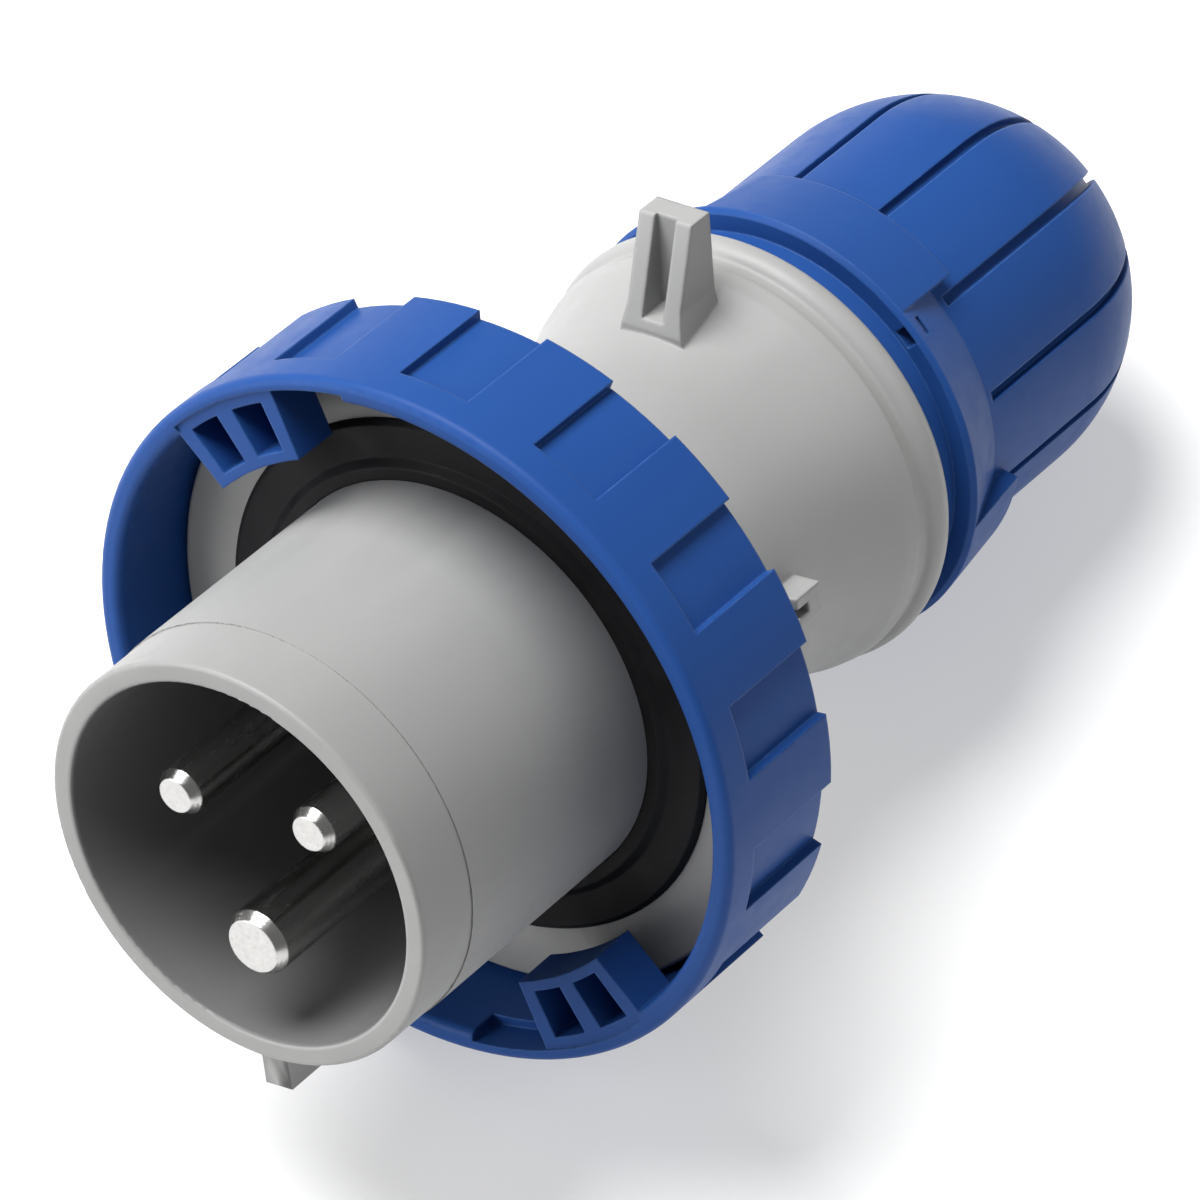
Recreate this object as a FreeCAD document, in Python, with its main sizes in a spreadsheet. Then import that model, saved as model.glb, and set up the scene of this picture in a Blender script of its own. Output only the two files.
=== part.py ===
import FreeCAD, Part
import math
import os
import Sketcher

# Industrial pin and sleeve plug, two poles and earth, with bayonet locking ring and cable gland nut.
# Every sub-part is drawn about the plug axis X, with x = 0 at the rim of the sleeve and x growing
# towards the cable entry. At the end the whole plug is laid down as it rests on a table:
# the locking ring on two of its grip panels and the gland nut on its domed end.

doc = FreeCAD.newDocument("pin_and_sleeve_plug")
sheet = doc.addObject("Spreadsheet::Sheet", "dims")

# Driving dimensions in millimetres and degrees; x values are measured along the axis from the rim
SIZES = [
    ("axis_line", 0.0, "radius of the plug axis"),
    ("cut_margin", 1.0, "how far a cut reaches past the material"),
    ("weld", 0.3, "how deep an added shape is rooted in its wall"),
    ("rim_x", 0.0, "rim of the sleeve"),
    ("sleeve_outer", 22.0, "outer radius of the sleeve"),
    ("sleeve_wall", 1.7, "wall thickness of the sleeve"),
    ("sleeve_step", 0.15, "height of the step line round the sleeve"),
    ("sleeve_step_x", 7.5, "step line round the sleeve"),
    ("rim_round", 0.45, "rounding of the sleeve rim"),
    ("floor_x", 38.0, "floor of the sleeve"),
    ("hub_back_x", 42.6, "back of the base wall and of the hub"),
    ("hub_step", 0.7, "how far the hub the ring turns on lies inside the sleeve's outside"),
    ("flange_front_x", 36.8, "front face of the flange"),
    ("flange_back_x", 39.7, "back face of the flange"),
    ("flange_rim", 6.3, "width of the flange outside the gasket seat"),
    ("flange_round", 0.5, "rounding of the flange edge"),
    ("gasket_seat_x", 38.2, "bottom of the gasket seat"),
    ("gasket_seat_width", 6.1, "width of the gasket seat"),
    ("skirt_play", 0.05, "clearance of the rear skirt in the barrel"),
    ("skirt_wall", 2.15, "wall thickness of the rear skirt"),
    ("skirt_end_x", 50.0, "end of the rear skirt"),
    ("seal_groove_x", 45.6, "front of the body seal groove"),
    ("seal_groove_width", 1.7, "width of the body seal groove"),
    ("seal_groove_depth", 1.41, "depth of the body seal groove"),
    ("seal_wire", 0.7, "wire radius of the body seal"),
    ("seal_play", 0.04, "clearance of the body seal in the barrel"),
    ("key_angle", -112.0, "place of the key rib and of the earth pin round the axis"),
    ("key_front_x", 1.2, "front end of the key rib"),
    ("key_back_x", 35.1, "back end of the key rib"),
    ("key_height", 1.8, "height of the key rib over the sleeve"),
    ("key_width", 3.0, "width of the key rib"),
    ("key_root", 0.8, "depth the key rib is rooted in the sleeve wall"),
    ("gasket_play", 0.05, "clearance of the gasket round the sleeve"),
    ("gasket_lip_x", 35.4, "front edge of the gasket at the sleeve"),
    ("gasket_lip_width", 1.3, "width of the gasket's inner lip"),
    ("gasket_slope", 0.8, "width of the slope from lip to face"),
    ("gasket_face_x", 36.1, "face of the gasket"),
    ("gasket_edge", 0.5, "chamfer of the gasket's outer edge"),
    ("pin_circle", 9.2, "radius of the circle of the contact pins"),
    ("pin_spacing", 120.0, "angle between contact pins"),
    ("pole_count", 3, "number of contact pins"),
    ("pin_tip_x", 1.9, "tips of the line and neutral pins"),
    ("earth_tip_x", 0.3, "tip of the earth pin, which leads"),
    ("line_pin_radius", 2.5, "radius of the line and neutral pins"),
    ("earth_pin_radius", 3.5, "radius of the earth pin"),
    ("pin_bevel", 0.7, "radial size of the bevel at a pin tip"),
    ("pin_bevel_length", 1.0, "axial size of the bevel at a pin tip"),
    ("pin_seat_step", 0.3, "how much thicker a pin is where it sits in the base wall"),
    ("pin_fit", 0.05, "clearance round a pin in its hole"),
    ("collar_height", 1.4, "height of a pin's collar over its shank"),
    ("collar_back_x", 44.2, "back of the pin collars"),
    ("tail_radius", 2.4, "radius of a pin's tail"),
    ("tail_end_x", 57.0, "end of a pin's tail"),
    ("tongue_front_x", 48.6, "front of the flat tongue on a pin's tail"),
    ("tongue_top", 0.3, "how far the flat of the tongue lies inside the pin's own axis"),
    ("carrier_front_x", 42.7, "front of the pin carrier"),
    ("carrier_back_x", 46.9, "back of the pin carrier"),
    ("carrier_play", 0.2, "clearance of pin carrier and terminal housing in the skirt"),
    ("collar_bore_x", 44.3, "bottom of the collar recesses in the pin carrier"),
    ("housing_front_x", 47.0, "front of the terminal housing"),
    ("housing_back_x", 61.0, "back of the terminal housing"),
    ("chamber_front_x", 48.4, "front wall of a terminal chamber"),
    ("chamber_play", 0.3, "clearance of a terminal clamp in its chamber"),
    ("clamp_front_x", 48.9, "front of a terminal clamp"),
    ("clamp_back_x", 58.0, "back of a terminal clamp"),
    ("clamp_half", 4.0, "half width and half height of a terminal clamp"),
    ("window_side_play", 0.35, "clearance beside the tongue in a clamp's window"),
    ("window_play", 0.15, "clearance under the tongue in a clamp's window"),
    ("clamp_round", 0.6, "rounding of a clamp's long edges"),
    ("plate_front_x", 50.2, "front of a wire plate"),
    ("plate_back_x", 57.4, "back of a wire plate"),
    ("plate_rise", 0.75, "distance of a wire plate from the pin's own axis"),
    ("plate_thickness", 0.6, "thickness of a wire plate"),
    ("plate_half", 2.4, "half width of a wire plate"),
    ("clamp_screw_x", 53.5, "place of the terminal screws"),
    ("clamp_screw_radius", 2.0, "thread radius of a terminal screw"),
    ("clamp_screw_head_radius", 2.6, "head radius of a terminal screw"),
    ("clamp_screw_head_height", 2.3, "head height of a terminal screw"),
    ("slot_width", 0.8, "width of a screwdriver slot"),
    ("slot_depth", 1.0, "depth of a screwdriver slot"),
    ("screw_play", 0.1, "clearance round a screw in a plain hole"),
    ("thread_play", 0.05, "clearance round a thread in its hole and under a screw head"),
    ("insert_screw_circle", 12.0, "distance of the insert screws from the axis"),
    ("insert_screw_offset", 60.0, "angle from the earth pin to the nearest insert screw"),
    ("insert_screw_radius", 1.3, "thread radius of an insert screw"),
    ("insert_screw_tip_x", 40.4, "tip of an insert screw"),
    ("insert_hole_x", 40.2, "bottom of the insert screw holes in the base wall"),
    ("insert_head_radius", 2.6, "head radius of an insert screw"),
    ("insert_head_height", 1.9, "head height of an insert screw"),
    ("ring_front_x", 27.0, "front rim of the locking ring"),
    ("ring_back_x", 43.7, "back edge of the locking ring"),
    ("ring_wall", 2.4, "wall thickness of the locking ring"),
    ("ring_play", 0.7, "clearance of the locking ring round the flange"),
    ("web_front_x", 40.0, "front of the ring's inner web"),
    ("web_back_x", 42.3, "back of the ring's inner web"),
    ("web_play", 0.3, "clearance of the ring's web round the hub"),
    ("ring_round", 0.9, "rounding of the ring's front rim"),
    ("panel_count", 15, "number of grip panels round the ring"),
    ("panel_front_x", 31.0, "front end of the hollows between grip panels"),
    ("panel_share", 0.42, "depth of the hollows between grip panels, as a share of the wall"),
    ("panel_margin", 1.5, "how far the cut of a hollow reaches past the ring"),
    ("panel_half_angle", 6.0, "half the angle of a hollow"),
    ("hollow_angle", 270.0, "place of the hollow the plug rests on"),
    ("block_count", 2, "number of bayonet blocks"),
    ("block_angle", 39.1, "place of the first bayonet block"),
    ("block_half_angle", 11.8, "half the angle of a bayonet block"),
    ("block_front_x", 27.3, "front of a bayonet block"),
    ("block_back_x", 32.6, "back of a bayonet block"),
    ("block_height", 6.5, "height of a bayonet block inside the ring"),
    ("block_wall", 1.1, "wall round the pockets of a bayonet block"),
    ("pocket_wall", 0.2, "how much thicker the ring is behind the pockets"),
    ("block_floor_x", 31.4, "bottom of the pockets in a bayonet block"),
    ("rib_half_angle", 1.9, "half the angle of the rib between the pockets"),
    ("side_rib_angle", 3.0, "angle of a side rib of a bayonet block"),
    ("relief_back_x", 30.7, "back of the relief beside a bayonet block"),
    ("relief_share", 0.42, "depth of the relief beside a block, as a share of the wall"),
    ("relief_start_angle", 27.8, "start of the relief"),
    ("relief_end_angle", 65.5, "end of the relief"),
    ("shoulder_x", 42.65, "front of the rear body"),
    ("shoulder_back_x", 44.6, "back of the shoulder that holds the ring's web"),
    ("shoulder_step", 2.0, "how far the shoulder reaches over the ring's web"),
    ("barrel_margin", 11.2, "outside of the barrel over the circle of the pins"),
    ("barrel_wall", 2.0, "wall thickness of the barrel"),
    ("flare_x", 65.0, "start of the flare"),
    ("flare_end_x", 78.0, "end of the flare"),
    ("flare_rise", 2.5, "height of the flare over the barrel"),
    ("lip_x", 79.7, "crest of the lip"),
    ("lip_rise", 2.9, "height of the lip over the barrel"),
    ("valley_x", 81.3, "valley between lip and rolled edge"),
    ("valley_rise", 2.6, "height of the valley over the barrel"),
    ("valley_bend", 3.0, "bend radius of the valley"),
    ("body_back_x", 84.8, "back of the rear flange"),
    ("bead_bend", 1.9, "bend radius of the rolled edge"),
    ("bead_step_x", 0.2, "distance from the valley to the rolled edge"),
    ("bead_step", 0.1, "height of the rolled edge's ends over the valley"),
    ("body_wall_x", 82.4, "front of the rear wall"),
    ("neck_step", 1.9, "how far the neck lies inside the barrel's outside"),
    ("neck_end_x", 98.0, "end of the neck"),
    ("neck_wall", 3.0, "wall thickness of the neck"),
    ("neck_stop_x", 86.8, "stop for the gland seal"),
    ("neck_stop_step", 3.5, "height of the stop inside the neck"),
    ("lug_angle", 72.5, "place of the slotted lug round the axis"),
    ("lug_toe_x", 69.4, "front end of the slotted lug"),
    ("lug_rise_x", 73.0, "where the lug reaches its full height"),
    ("lug_toe_rise", 0.8, "height of the lug at its front end, over the barrel"),
    ("lug_rise", 11.8, "full height of the lug over the barrel"),
    ("lug_root_depth", 1.0, "how deep the lug and the hook are rooted in the barrel"),
    ("lug_back_x", 76.0, "back of the lug"),
    ("lug_half", 3.1, "half width of the lug"),
    ("lug_foot_half", 3.9, "half width of the lug at its root"),
    ("lug_foot_rise", 3.2, "where the lug's spread foot ends, over the barrel"),
    ("lug_slot_half", 1.25, "half width of the slot"),
    ("lug_slot_rise", 1.8, "height of the slot's floor over the barrel"),
    ("lug_bridge_x", 73.4, "front of the wall behind the slot"),
    ("hook_angle", 158.0, "place of the small hook round the axis"),
    ("hook_front_x", 59.0, "front of the small hook"),
    ("hook_back_x", 63.0, "back of the small hook"),
    ("hook_rise", 3.0, "height of the small hook over the barrel"),
    ("hook_half", 1.7, "half width of the small hook"),
    ("hook_slot_half", 0.6, "half width of the slot in the hook"),
    ("hook_slot_x", 60.8, "back of the slot in the hook"),
    ("hook_slot_rise", 0.8, "floor of the slot in the hook, over the barrel"),
    ("nut_front_x", 85.1, "front of the gland nut"),
    ("nut_play", 0.35, "clearance of the nut round the neck"),
    ("nut_collar_step", 2.4, "how far the nut's front collar lies inside its edge"),
    ("nut_face_x", 88.4, "face behind the collar"),
    ("nut_edge", 0.5, "chamfer at the nut's front edge"),
    ("nut_band_rise", 3.0, "height of the nut's front edge over its smooth part"),
    ("band_back_x", 96.2, "back of the nut's band"),
    ("band_step", 0.15, "height of the band's back over the smooth part"),
    ("nut_wall", 2.15, "wall thickness of the nut"),
    ("dome_x", 115.0, "start of the dome"),
    ("dome_bend", 22.0, "bend radius of the dome"),
    ("dome_end_x", 133.5, "end of the nut"),
    ("entry_wall", 1.4, "width of the rim round the cable entry"),
    ("cavity_step_x", 104.5, "step in the nut's cavity"),
    ("cavity_step", 0.85, "height of the step in the nut's cavity"),
    ("cavity_bend", 19.0, "bend radius of the cavity's end"),
    ("pad_count", 3, "number of raised pads on the band"),
    ("pad_angle", 54.7, "place of the first pad's edge"),
    ("pad_span", 60.0, "angle a pad covers"),
    ("pad_back_x", 98.5, "back of a pad"),
    ("pad_back_rise", 1.7, "height of a pad at its back over the smooth part"),
    ("pad_root_depth", 0.4, "how deep a pad is rooted"),
    ("nut_groove_count", 12, "number of long grooves"),
    ("nut_groove_angle", 59.5, "place of the first long groove"),
    ("dome_front_x", 96.4, "start of the nut's smooth part"),
    ("nut_groove_x", 97.2, "front end of a long groove"),
    ("nut_groove_depth", 0.9, "depth of a long groove"),
    ("nut_groove_width", 1.1, "width of a long groove"),
    ("face_pocket_count", 3, "number of pockets in the nut's face"),
    ("face_pocket_angle", 120.0, "place of the first face pocket"),
    ("face_pocket_reach", 2.0, "inner side of a face pocket, in from the nut's edge"),
    ("face_pocket_rim", 0.6, "outer side of a face pocket, in from the nut's edge"),
    ("face_pocket_half", 1.0, "half width of a face pocket"),
    ("face_pocket_depth", 2.6, "depth of a face pocket"),
    ("gland_front_x", 87.0, "front of the gland seal"),
    ("gland_play", 0.2, "clearance of the gland seal in the neck"),
    ("gland_bore", 8.5, "bore of the gland seal"),
    ("gland_ring_bore", 9.6, "wider bore between the seal's sealing ribs"),
    ("gland_rib", 1.8, "length of a sealing rib"),
    ("gland_gap", 3.0, "length between sealing ribs"),
    ("gland_collar_x", 98.05, "front of the seal's collar"),
    ("gland_collar_step", 0.3, "how far the seal's collar lies inside the neck's outside"),
    ("gland_back_x", 99.3, "back of the gland seal"),
    ("cage_front_x", 99.6, "front of the clamp cage"),
    ("cage_base_x", 102.6, "back of the cage's base ring"),
    ("cage_play", 0.35, "clearance of the cage's base ring in the nut"),
    ("finger_play", 0.8, "clearance of the cage's fingers in the cavity"),
    ("finger_bend", 18.2, "outer bend of the fingers"),
    ("finger_thickness", 2.4, "thickness of a finger"),
    ("finger_end_x", 127.0, "tips of the fingers"),
    ("finger_count", 8, "number of fingers"),
    ("finger_gap_angle", 60.0, "place of the first gap between fingers"),
    ("finger_gap_start", 1.0, "distance from the base ring to the gaps between fingers"),
    ("finger_gap_half", 1.1, "half width of the gap between fingers"),
    ("washer_front_x", 102.8, "front of the thrust washer"),
    ("washer_back_x", 104.2, "back of the thrust washer"),
    ("washer_width", 1.2, "width of the thrust washer"),
]

# Values that follow from the driving dimensions
DERIVED = [
    ("sleeve_inner", "sleeve_outer - sleeve_wall", "inner radius of the sleeve"),
    ("sleeve_front_outer", "sleeve_outer - sleeve_step", "outer radius in front of the step line"),
    ("hub_radius", "sleeve_outer - hub_step", "radius of the hub the locking ring turns on"),
    ("gasket_seat_outer", "sleeve_outer + gasket_seat_width", "outer radius of the gasket seat"),
    ("flange_radius", "gasket_seat_outer + flange_rim", "outer radius of the flange"),
    ("ring_inner", "flange_radius + ring_play", "inner radius of the locking ring"),
    ("ring_outer", "ring_inner + ring_wall", "outer radius of the locking ring"),
    ("panel_floor", "ring_outer - panel_share * ring_wall", "radius of the hollows between grip panels"),
    ("relief_radius", "ring_inner + relief_share * ring_wall", "radius of the relief beside a block"),
    ("block_inner", "ring_inner - block_height", "inner radius of a bayonet block"),
    ("web_inner", "hub_radius + web_play", "inner radius of the ring's web"),
    ("shoulder_radius", "web_inner + shoulder_step", "radius of the shoulder that holds the web"),
    ("barrel_radius", "pin_circle + barrel_margin", "outer radius of the barrel"),
    ("barrel_inner", "barrel_radius - barrel_wall", "inner radius of the barrel"),
    ("skirt_outer", "barrel_inner - skirt_play", "outer radius of the rear skirt"),
    ("skirt_inner", "skirt_outer - skirt_wall", "inner radius of the rear skirt"),
    ("seal_groove_radius", "skirt_outer - seal_groove_depth", "bottom radius of the body seal groove"),
    ("carrier_radius", "skirt_inner - carrier_play", "outer radius of pin carrier and terminal housing"),
    ("flare_radius", "barrel_radius + flare_rise", "radius at the end of the flare"),
    ("lip_radius", "barrel_radius + lip_rise", "radius of the lip"),
    ("valley_radius", "barrel_radius + valley_rise", "radius of the valley"),
    ("neck_radius", "barrel_radius - neck_step", "outer radius of the neck"),
    ("neck_bore", "neck_radius - neck_wall", "bore of the neck"),
    ("cable_hole", "neck_bore - neck_stop_step", "radius of the hole into the body"),
    ("lug_root", "barrel_radius - lug_root_depth", "radius the lug is rooted at"),
    ("lug_toe_height", "barrel_radius + lug_toe_rise", "radius of the lug's front end"),
    ("lug_foot_height", "barrel_radius + lug_foot_rise", "radius where the lug's spread foot ends"),
    ("lug_height", "barrel_radius + lug_rise", "radius of the lug's top"),
    ("lug_slot_floor", "barrel_radius + lug_slot_rise", "radius of the slot's floor"),
    ("hook_height", "barrel_radius + hook_rise", "radius of the hook's top"),
    ("hook_slot_floor", "barrel_radius + hook_slot_rise", "radius of the floor of the hook's slot"),
    ("nut_bore", "neck_radius + nut_play", "bore of the nut round the neck"),
    ("dome_radius", "nut_bore + nut_wall", "radius of the nut behind the band"),
    ("nut_radius", "dome_radius + nut_band_rise", "radius of the nut's front edge"),
    ("nut_collar", "nut_radius - nut_collar_step", "radius of the nut's front collar"),
    ("band_root", "dome_radius + band_step", "radius at the back of the band"),
    ("pad_back_radius", "dome_radius + pad_back_rise", "radius of a pad at its back"),
    ("pad_root", "dome_radius - pad_root_depth", "radius a pad is rooted at"),
    ("face_pocket_low", "nut_radius - face_pocket_reach", "inner radius of a face pocket"),
    ("face_pocket_high", "nut_radius - face_pocket_rim", "outer radius of a face pocket"),
    ("cavity_radius", "nut_bore - cavity_step", "radius of the nut's cavity"),
    ("gland_radius", "neck_bore - gland_play", "outer radius of the gland seal"),
    ("gland_collar_radius", "neck_radius - gland_collar_step", "radius of the seal's collar"),
    ("cage_base_radius", "nut_bore - cage_play", "outer radius of the cage's base ring"),
    ("finger_outer", "cavity_radius - finger_play", "outer radius of the cage's fingers"),
    ("cage_bore", "finger_outer - finger_thickness", "bore of the clamp cage"),
    ("washer_inner", "cage_base_radius - washer_width", "inner radius of the thrust washer"),
    ("clamp_bottom", "pin_circle - clamp_half", "distance of a clamp's underside from the axis"),
    ("clamp_top", "pin_circle + clamp_half", "distance of a clamp's top from the axis"),
    ("chamber_floor", "clamp_bottom - chamber_play", "distance of a chamber floor from the axis"),
    ("chamber_half", "clamp_half + chamber_play", "half width of a terminal chamber"),
    ("window_half", "tail_radius + window_side_play", "half width of a clamp's window"),
    ("window_bottom", "pin_circle - tail_radius - window_play", "distance of the window's floor"),
    ("window_top", "pin_circle + tail_radius + window_play", "distance of the window's top"),
    ("plate_bottom", "pin_circle + plate_rise", "distance of a wire plate's underside from the axis"),
    ("plate_top", "plate_bottom + plate_thickness", "distance of a wire plate's top from the axis"),
    ("clamp_screw_tip", "plate_top + thread_play", "distance of a terminal screw's tip from the axis"),
    ("clamp_screw_head_low", "clamp_top + thread_play", "distance of its head's underside"),
    ("clamp_screw_head_high", "clamp_screw_head_low + clamp_screw_head_height", "distance of its top"),
    ("seal_groove_back_x", "seal_groove_x + seal_groove_width", "back of the body seal groove"),
    ("seal_ring_radius", "barrel_inner - seal_wire - seal_play", "centre radius of the body seal"),
    ("seal_ring_x", "seal_groove_x + seal_groove_width / 2", "centre of the body seal"),
    ("key_low", "sleeve_outer - key_root", "root of the key rib"),
    ("key_high", "sleeve_outer + key_height", "crest of the key rib"),
    ("key_half", "key_width / 2", "half width of the key rib"),
    ("key_length", "key_back_x - key_front_x", "length of the key rib"),
    ("base_depth", "hub_back_x - floor_x + cut_margin", "cut depth through the base wall"),
    ("line_seat", "line_pin_radius + pin_seat_step", "radius of a line pin in the base wall"),
    ("earth_seat", "earth_pin_radius + pin_seat_step", "radius of the earth pin in the base wall"),
    ("line_hole", "line_seat + pin_fit", "hole for a line pin"),
    ("earth_hole", "earth_seat + pin_fit", "hole for the earth pin"),
    ("insert_hole", "insert_screw_radius + thread_play", "hole for an insert screw in the base wall"),
    ("insert_hole_depth", "hub_back_x - insert_hole_x", "depth of that hole"),
    ("gasket_inner", "sleeve_outer + gasket_play", "inner radius of the gasket"),
    ("gasket_lip_outer", "gasket_inner + gasket_lip_width", "outer radius of the lip"),
    ("gasket_slope_outer", "gasket_lip_outer + gasket_slope", "end of the slope"),
    ("gasket_outer", "gasket_seat_outer - gasket_play", "outer radius of the gasket"),
    ("gasket_edge_inner", "gasket_outer - gasket_edge", "start of the chamfer"),
    ("gasket_edge_x", "gasket_face_x + gasket_edge", "end of the chamfer"),
    ("gasket_back_x", "gasket_seat_x - gasket_play", "back of the gasket"),
    ("bevel_x", "pin_tip_x + pin_bevel_length", "end of the bevel on a line pin"),
    ("earth_bevel_x", "earth_tip_x + pin_bevel_length", "end of the bevel on the earth pin"),
    ("line_tip", "line_pin_radius - pin_bevel", "radius of a line pin's end face"),
    ("earth_tip", "earth_pin_radius - pin_bevel", "radius of the earth pin's end face"),
    ("line_collar", "line_pin_radius + collar_height", "collar of a line pin"),
    ("earth_collar", "earth_pin_radius + collar_height", "collar of the earth pin"),
    ("tongue_length", "tail_end_x - tongue_front_x + cut_margin", "cut length of the tongue"),
    ("tongue_face", "0 - tongue_top", "place of the tongue's flat"),
    ("tail_clear", "tail_radius + cut_margin", "limit of the tongue cut"),
    ("line_collar_bore", "line_collar + screw_play", "recess for a line pin's collar"),
    ("earth_collar_bore", "earth_collar + screw_play", "recess for the earth pin's collar"),
    ("collar_bore_depth", "collar_bore_x - carrier_front_x", "depth of a collar recess"),
    ("carrier_length", "carrier_back_x - carrier_front_x", "thickness of the pin carrier"),
    ("housing_wall", "chamber_front_x - housing_front_x + cut_margin", "cut depth into the chambers"),
    ("tail_hole", "tail_radius + screw_play", "hole for a pin's tail"),
    ("insert_clear", "insert_screw_radius + screw_play", "clearance hole for an insert screw"),
    ("housing_length", "housing_back_x - housing_front_x", "length of the terminal housing"),
    ("chamber_depth", "housing_back_x - chamber_front_x", "depth of a chamber"),
    ("chamber_reach", "carrier_radius + cut_margin", "outer limit of the chamber cut"),
    ("clamp_length", "clamp_back_x - clamp_front_x", "length of a terminal clamp"),
    ("clamp_hole", "clamp_screw_radius + thread_play", "threaded hole of a terminal clamp"),
    ("clamp_hole_depth", "clamp_top - window_top + cut_margin", "cut depth of the threaded hole"),
    ("plate_length", "plate_back_x - plate_front_x", "length of a wire plate"),
    ("screw_side_x", "clamp_screw_x + clamp_screw_radius", "side of a terminal screw's shank"),
    ("screw_head_side_x", "clamp_screw_x + clamp_screw_head_radius", "side of its head"),
    ("screw_slot_floor", "clamp_screw_head_high - slot_depth", "floor of its slot"),
    ("screw_slot_reach", "clamp_screw_head_high + cut_margin", "outer limit of the slot cut"),
    ("screw_slot_front_x", "clamp_screw_x - slot_width / 2", "one side of its slot"),
    ("screw_slot_back_x", "clamp_screw_x + slot_width / 2", "other side of its slot"),
    ("screw_slot_length", "2 * (clamp_screw_head_radius + cut_margin)", "length of the slot cut"),
    ("insert_head_x", "housing_back_x + thread_play", "underside of an insert screw's head"),
    ("insert_head_back_x", "insert_head_x + insert_head_height", "top of an insert screw's head"),
    ("insert_slot_reach", "insert_head_radius + cut_margin", "one end of an insert screw's slot cut"),
    ("insert_slot_back", "0 - insert_slot_reach", "other end of that cut"),
    ("slot_half", "slot_width / 2", "half width of a screwdriver slot"),
    ("panel_length", "ring_back_x - panel_front_x + cut_margin", "cut length of a hollow"),
    ("panel_reach", "ring_outer + panel_margin", "outer limit of the hollow cut"),
    ("panel_start_angle", "hollow_angle - panel_half_angle", "start of a hollow"),
    ("panel_end_angle", "hollow_angle + panel_half_angle", "end of a hollow"),
    ("relief_length", "relief_back_x - ring_front_x", "length of the relief"),
    ("relief_low", "ring_inner - cut_margin", "inner limit of the relief cut"),
    ("block_length", "block_back_x - block_front_x", "length of a bayonet block"),
    ("block_outer", "relief_radius + weld", "radius a bayonet block is rooted at"),
    ("block_start", "block_angle - block_half_angle", "one side of a bayonet block"),
    ("block_end", "block_angle + block_half_angle", "other side of a bayonet block"),
    ("pocket_depth", "block_floor_x - block_front_x", "depth of the pockets in a block"),
    ("pocket_low", "block_inner + block_wall", "inner side of the pockets"),
    ("pocket_high", "ring_inner - pocket_wall", "outer side of the pockets"),
    ("pocket_one_start", "block_start + side_rib_angle", "first pocket"),
    ("pocket_one_end", "block_angle - rib_half_angle", "first pocket"),
    ("pocket_two_start", "block_angle + rib_half_angle", "second pocket"),
    ("pocket_two_end", "block_end - side_rib_angle", "second pocket"),
    ("flare_bend", "((flare_end_x - flare_x)^2 + (flare_radius - barrel_radius)^2)"
                   " / (2 * (flare_radius - barrel_radius))", "bend radius of the flare"),
    ("bead_radius", "valley_radius + bead_step", "radius where the rolled edge starts and ends"),
    ("bead_x", "valley_x + bead_step_x", "start of the rolled edge"),
    ("lug_slot_reach", "lug_height + cut_margin", "outer limit of the lug's slot"),
    ("lug_slot_front_x", "lug_toe_x - cut_margin", "front limit of the lug's slot"),
    ("lug_slot_width", "2 * lug_slot_half", "width of the lug's slot"),
    ("lug_length", "lug_back_x - lug_toe_x", "length of the lug"),
    ("lug_slope_width", "2 * (lug_foot_half + cut_margin)", "width of the slope cut"),
    ("hook_length", "hook_back_x - hook_front_x", "length of the hook"),
    ("hook_slot_length", "hook_slot_x - hook_front_x", "length of the slot in the hook"),
    ("hook_reach", "hook_height + cut_margin", "outer limit of the hook's slot"),
    ("nut_edge_x", "nut_face_x + nut_edge", "end of the nut's front chamfer"),
    ("nut_edge_radius", "nut_radius - nut_edge", "start of the nut's front chamfer"),
    ("dome_end_radius", "dome_radius - dome_bend + sqrt(dome_bend^2 - (dome_end_x - dome_x)^2)",
     "outer radius at the end of the dome"),
    ("entry_radius", "dome_end_radius - entry_wall", "radius of the cable entry"),
    ("cavity_end_x", "dome_x + sqrt(cavity_bend^2 - (entry_radius - cavity_radius + cavity_bend)^2)",
     "where the cavity meets the cable entry"),
    ("groove_floor", "dome_radius - nut_groove_depth", "floor of a long groove"),
    ("groove_bend", "dome_bend - nut_groove_depth", "bend of a groove's floor"),
    ("groove_end_x", "dome_end_x + weld", "back limit of a long groove"),
    ("groove_end_radius", "groove_floor - groove_bend + sqrt(groove_bend^2 - (groove_end_x - dome_x)^2)",
     "floor of a long groove at its back limit"),
    ("groove_reach", "nut_radius + cut_margin", "outer limit of the groove cut"),
    ("gland_rib_one_x", "gland_front_x + gland_rib", "end of the first sealing rib"),
    ("gland_rib_two_x", "gland_rib_one_x + gland_gap", "start of the second sealing rib"),
    ("gland_rib_three_x", "gland_rib_two_x + gland_rib", "end of the second sealing rib"),
    ("gland_rib_four_x", "gland_rib_three_x + gland_gap", "start of the third sealing rib"),
    ("finger_end_outer", "finger_outer - finger_bend + sqrt(finger_bend^2 - (finger_end_x - dome_x)^2)",
     "outer radius of a finger's tip"),
    ("finger_inner_bend", "finger_bend - finger_thickness", "inner bend of the fingers"),
    ("finger_end_inner", "cage_bore - finger_inner_bend"
                         " + sqrt(finger_inner_bend^2 - (finger_end_x - dome_x)^2)",
     "inner radius of a finger's tip"),
    ("finger_gap_width", "2 * finger_gap_half", "gap between fingers"),
    ("finger_gap_x", "cage_base_x + finger_gap_start", "front of the gaps between fingers"),
    ("finger_gap_end_x", "finger_end_x + cut_margin", "back limit of the gaps"),
    ("finger_gap_reach", "finger_outer + cut_margin", "outer limit of the gaps"),
    ("finger_gap_low", "entry_radius - cut_margin", "inner limit of the gaps"),
]


# Below these differences, in millimetres, a value counts as zero and two sizes as the same
NEARLY_NOTHING = 1e-9
SAME_SIZE = 1e-4


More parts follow.
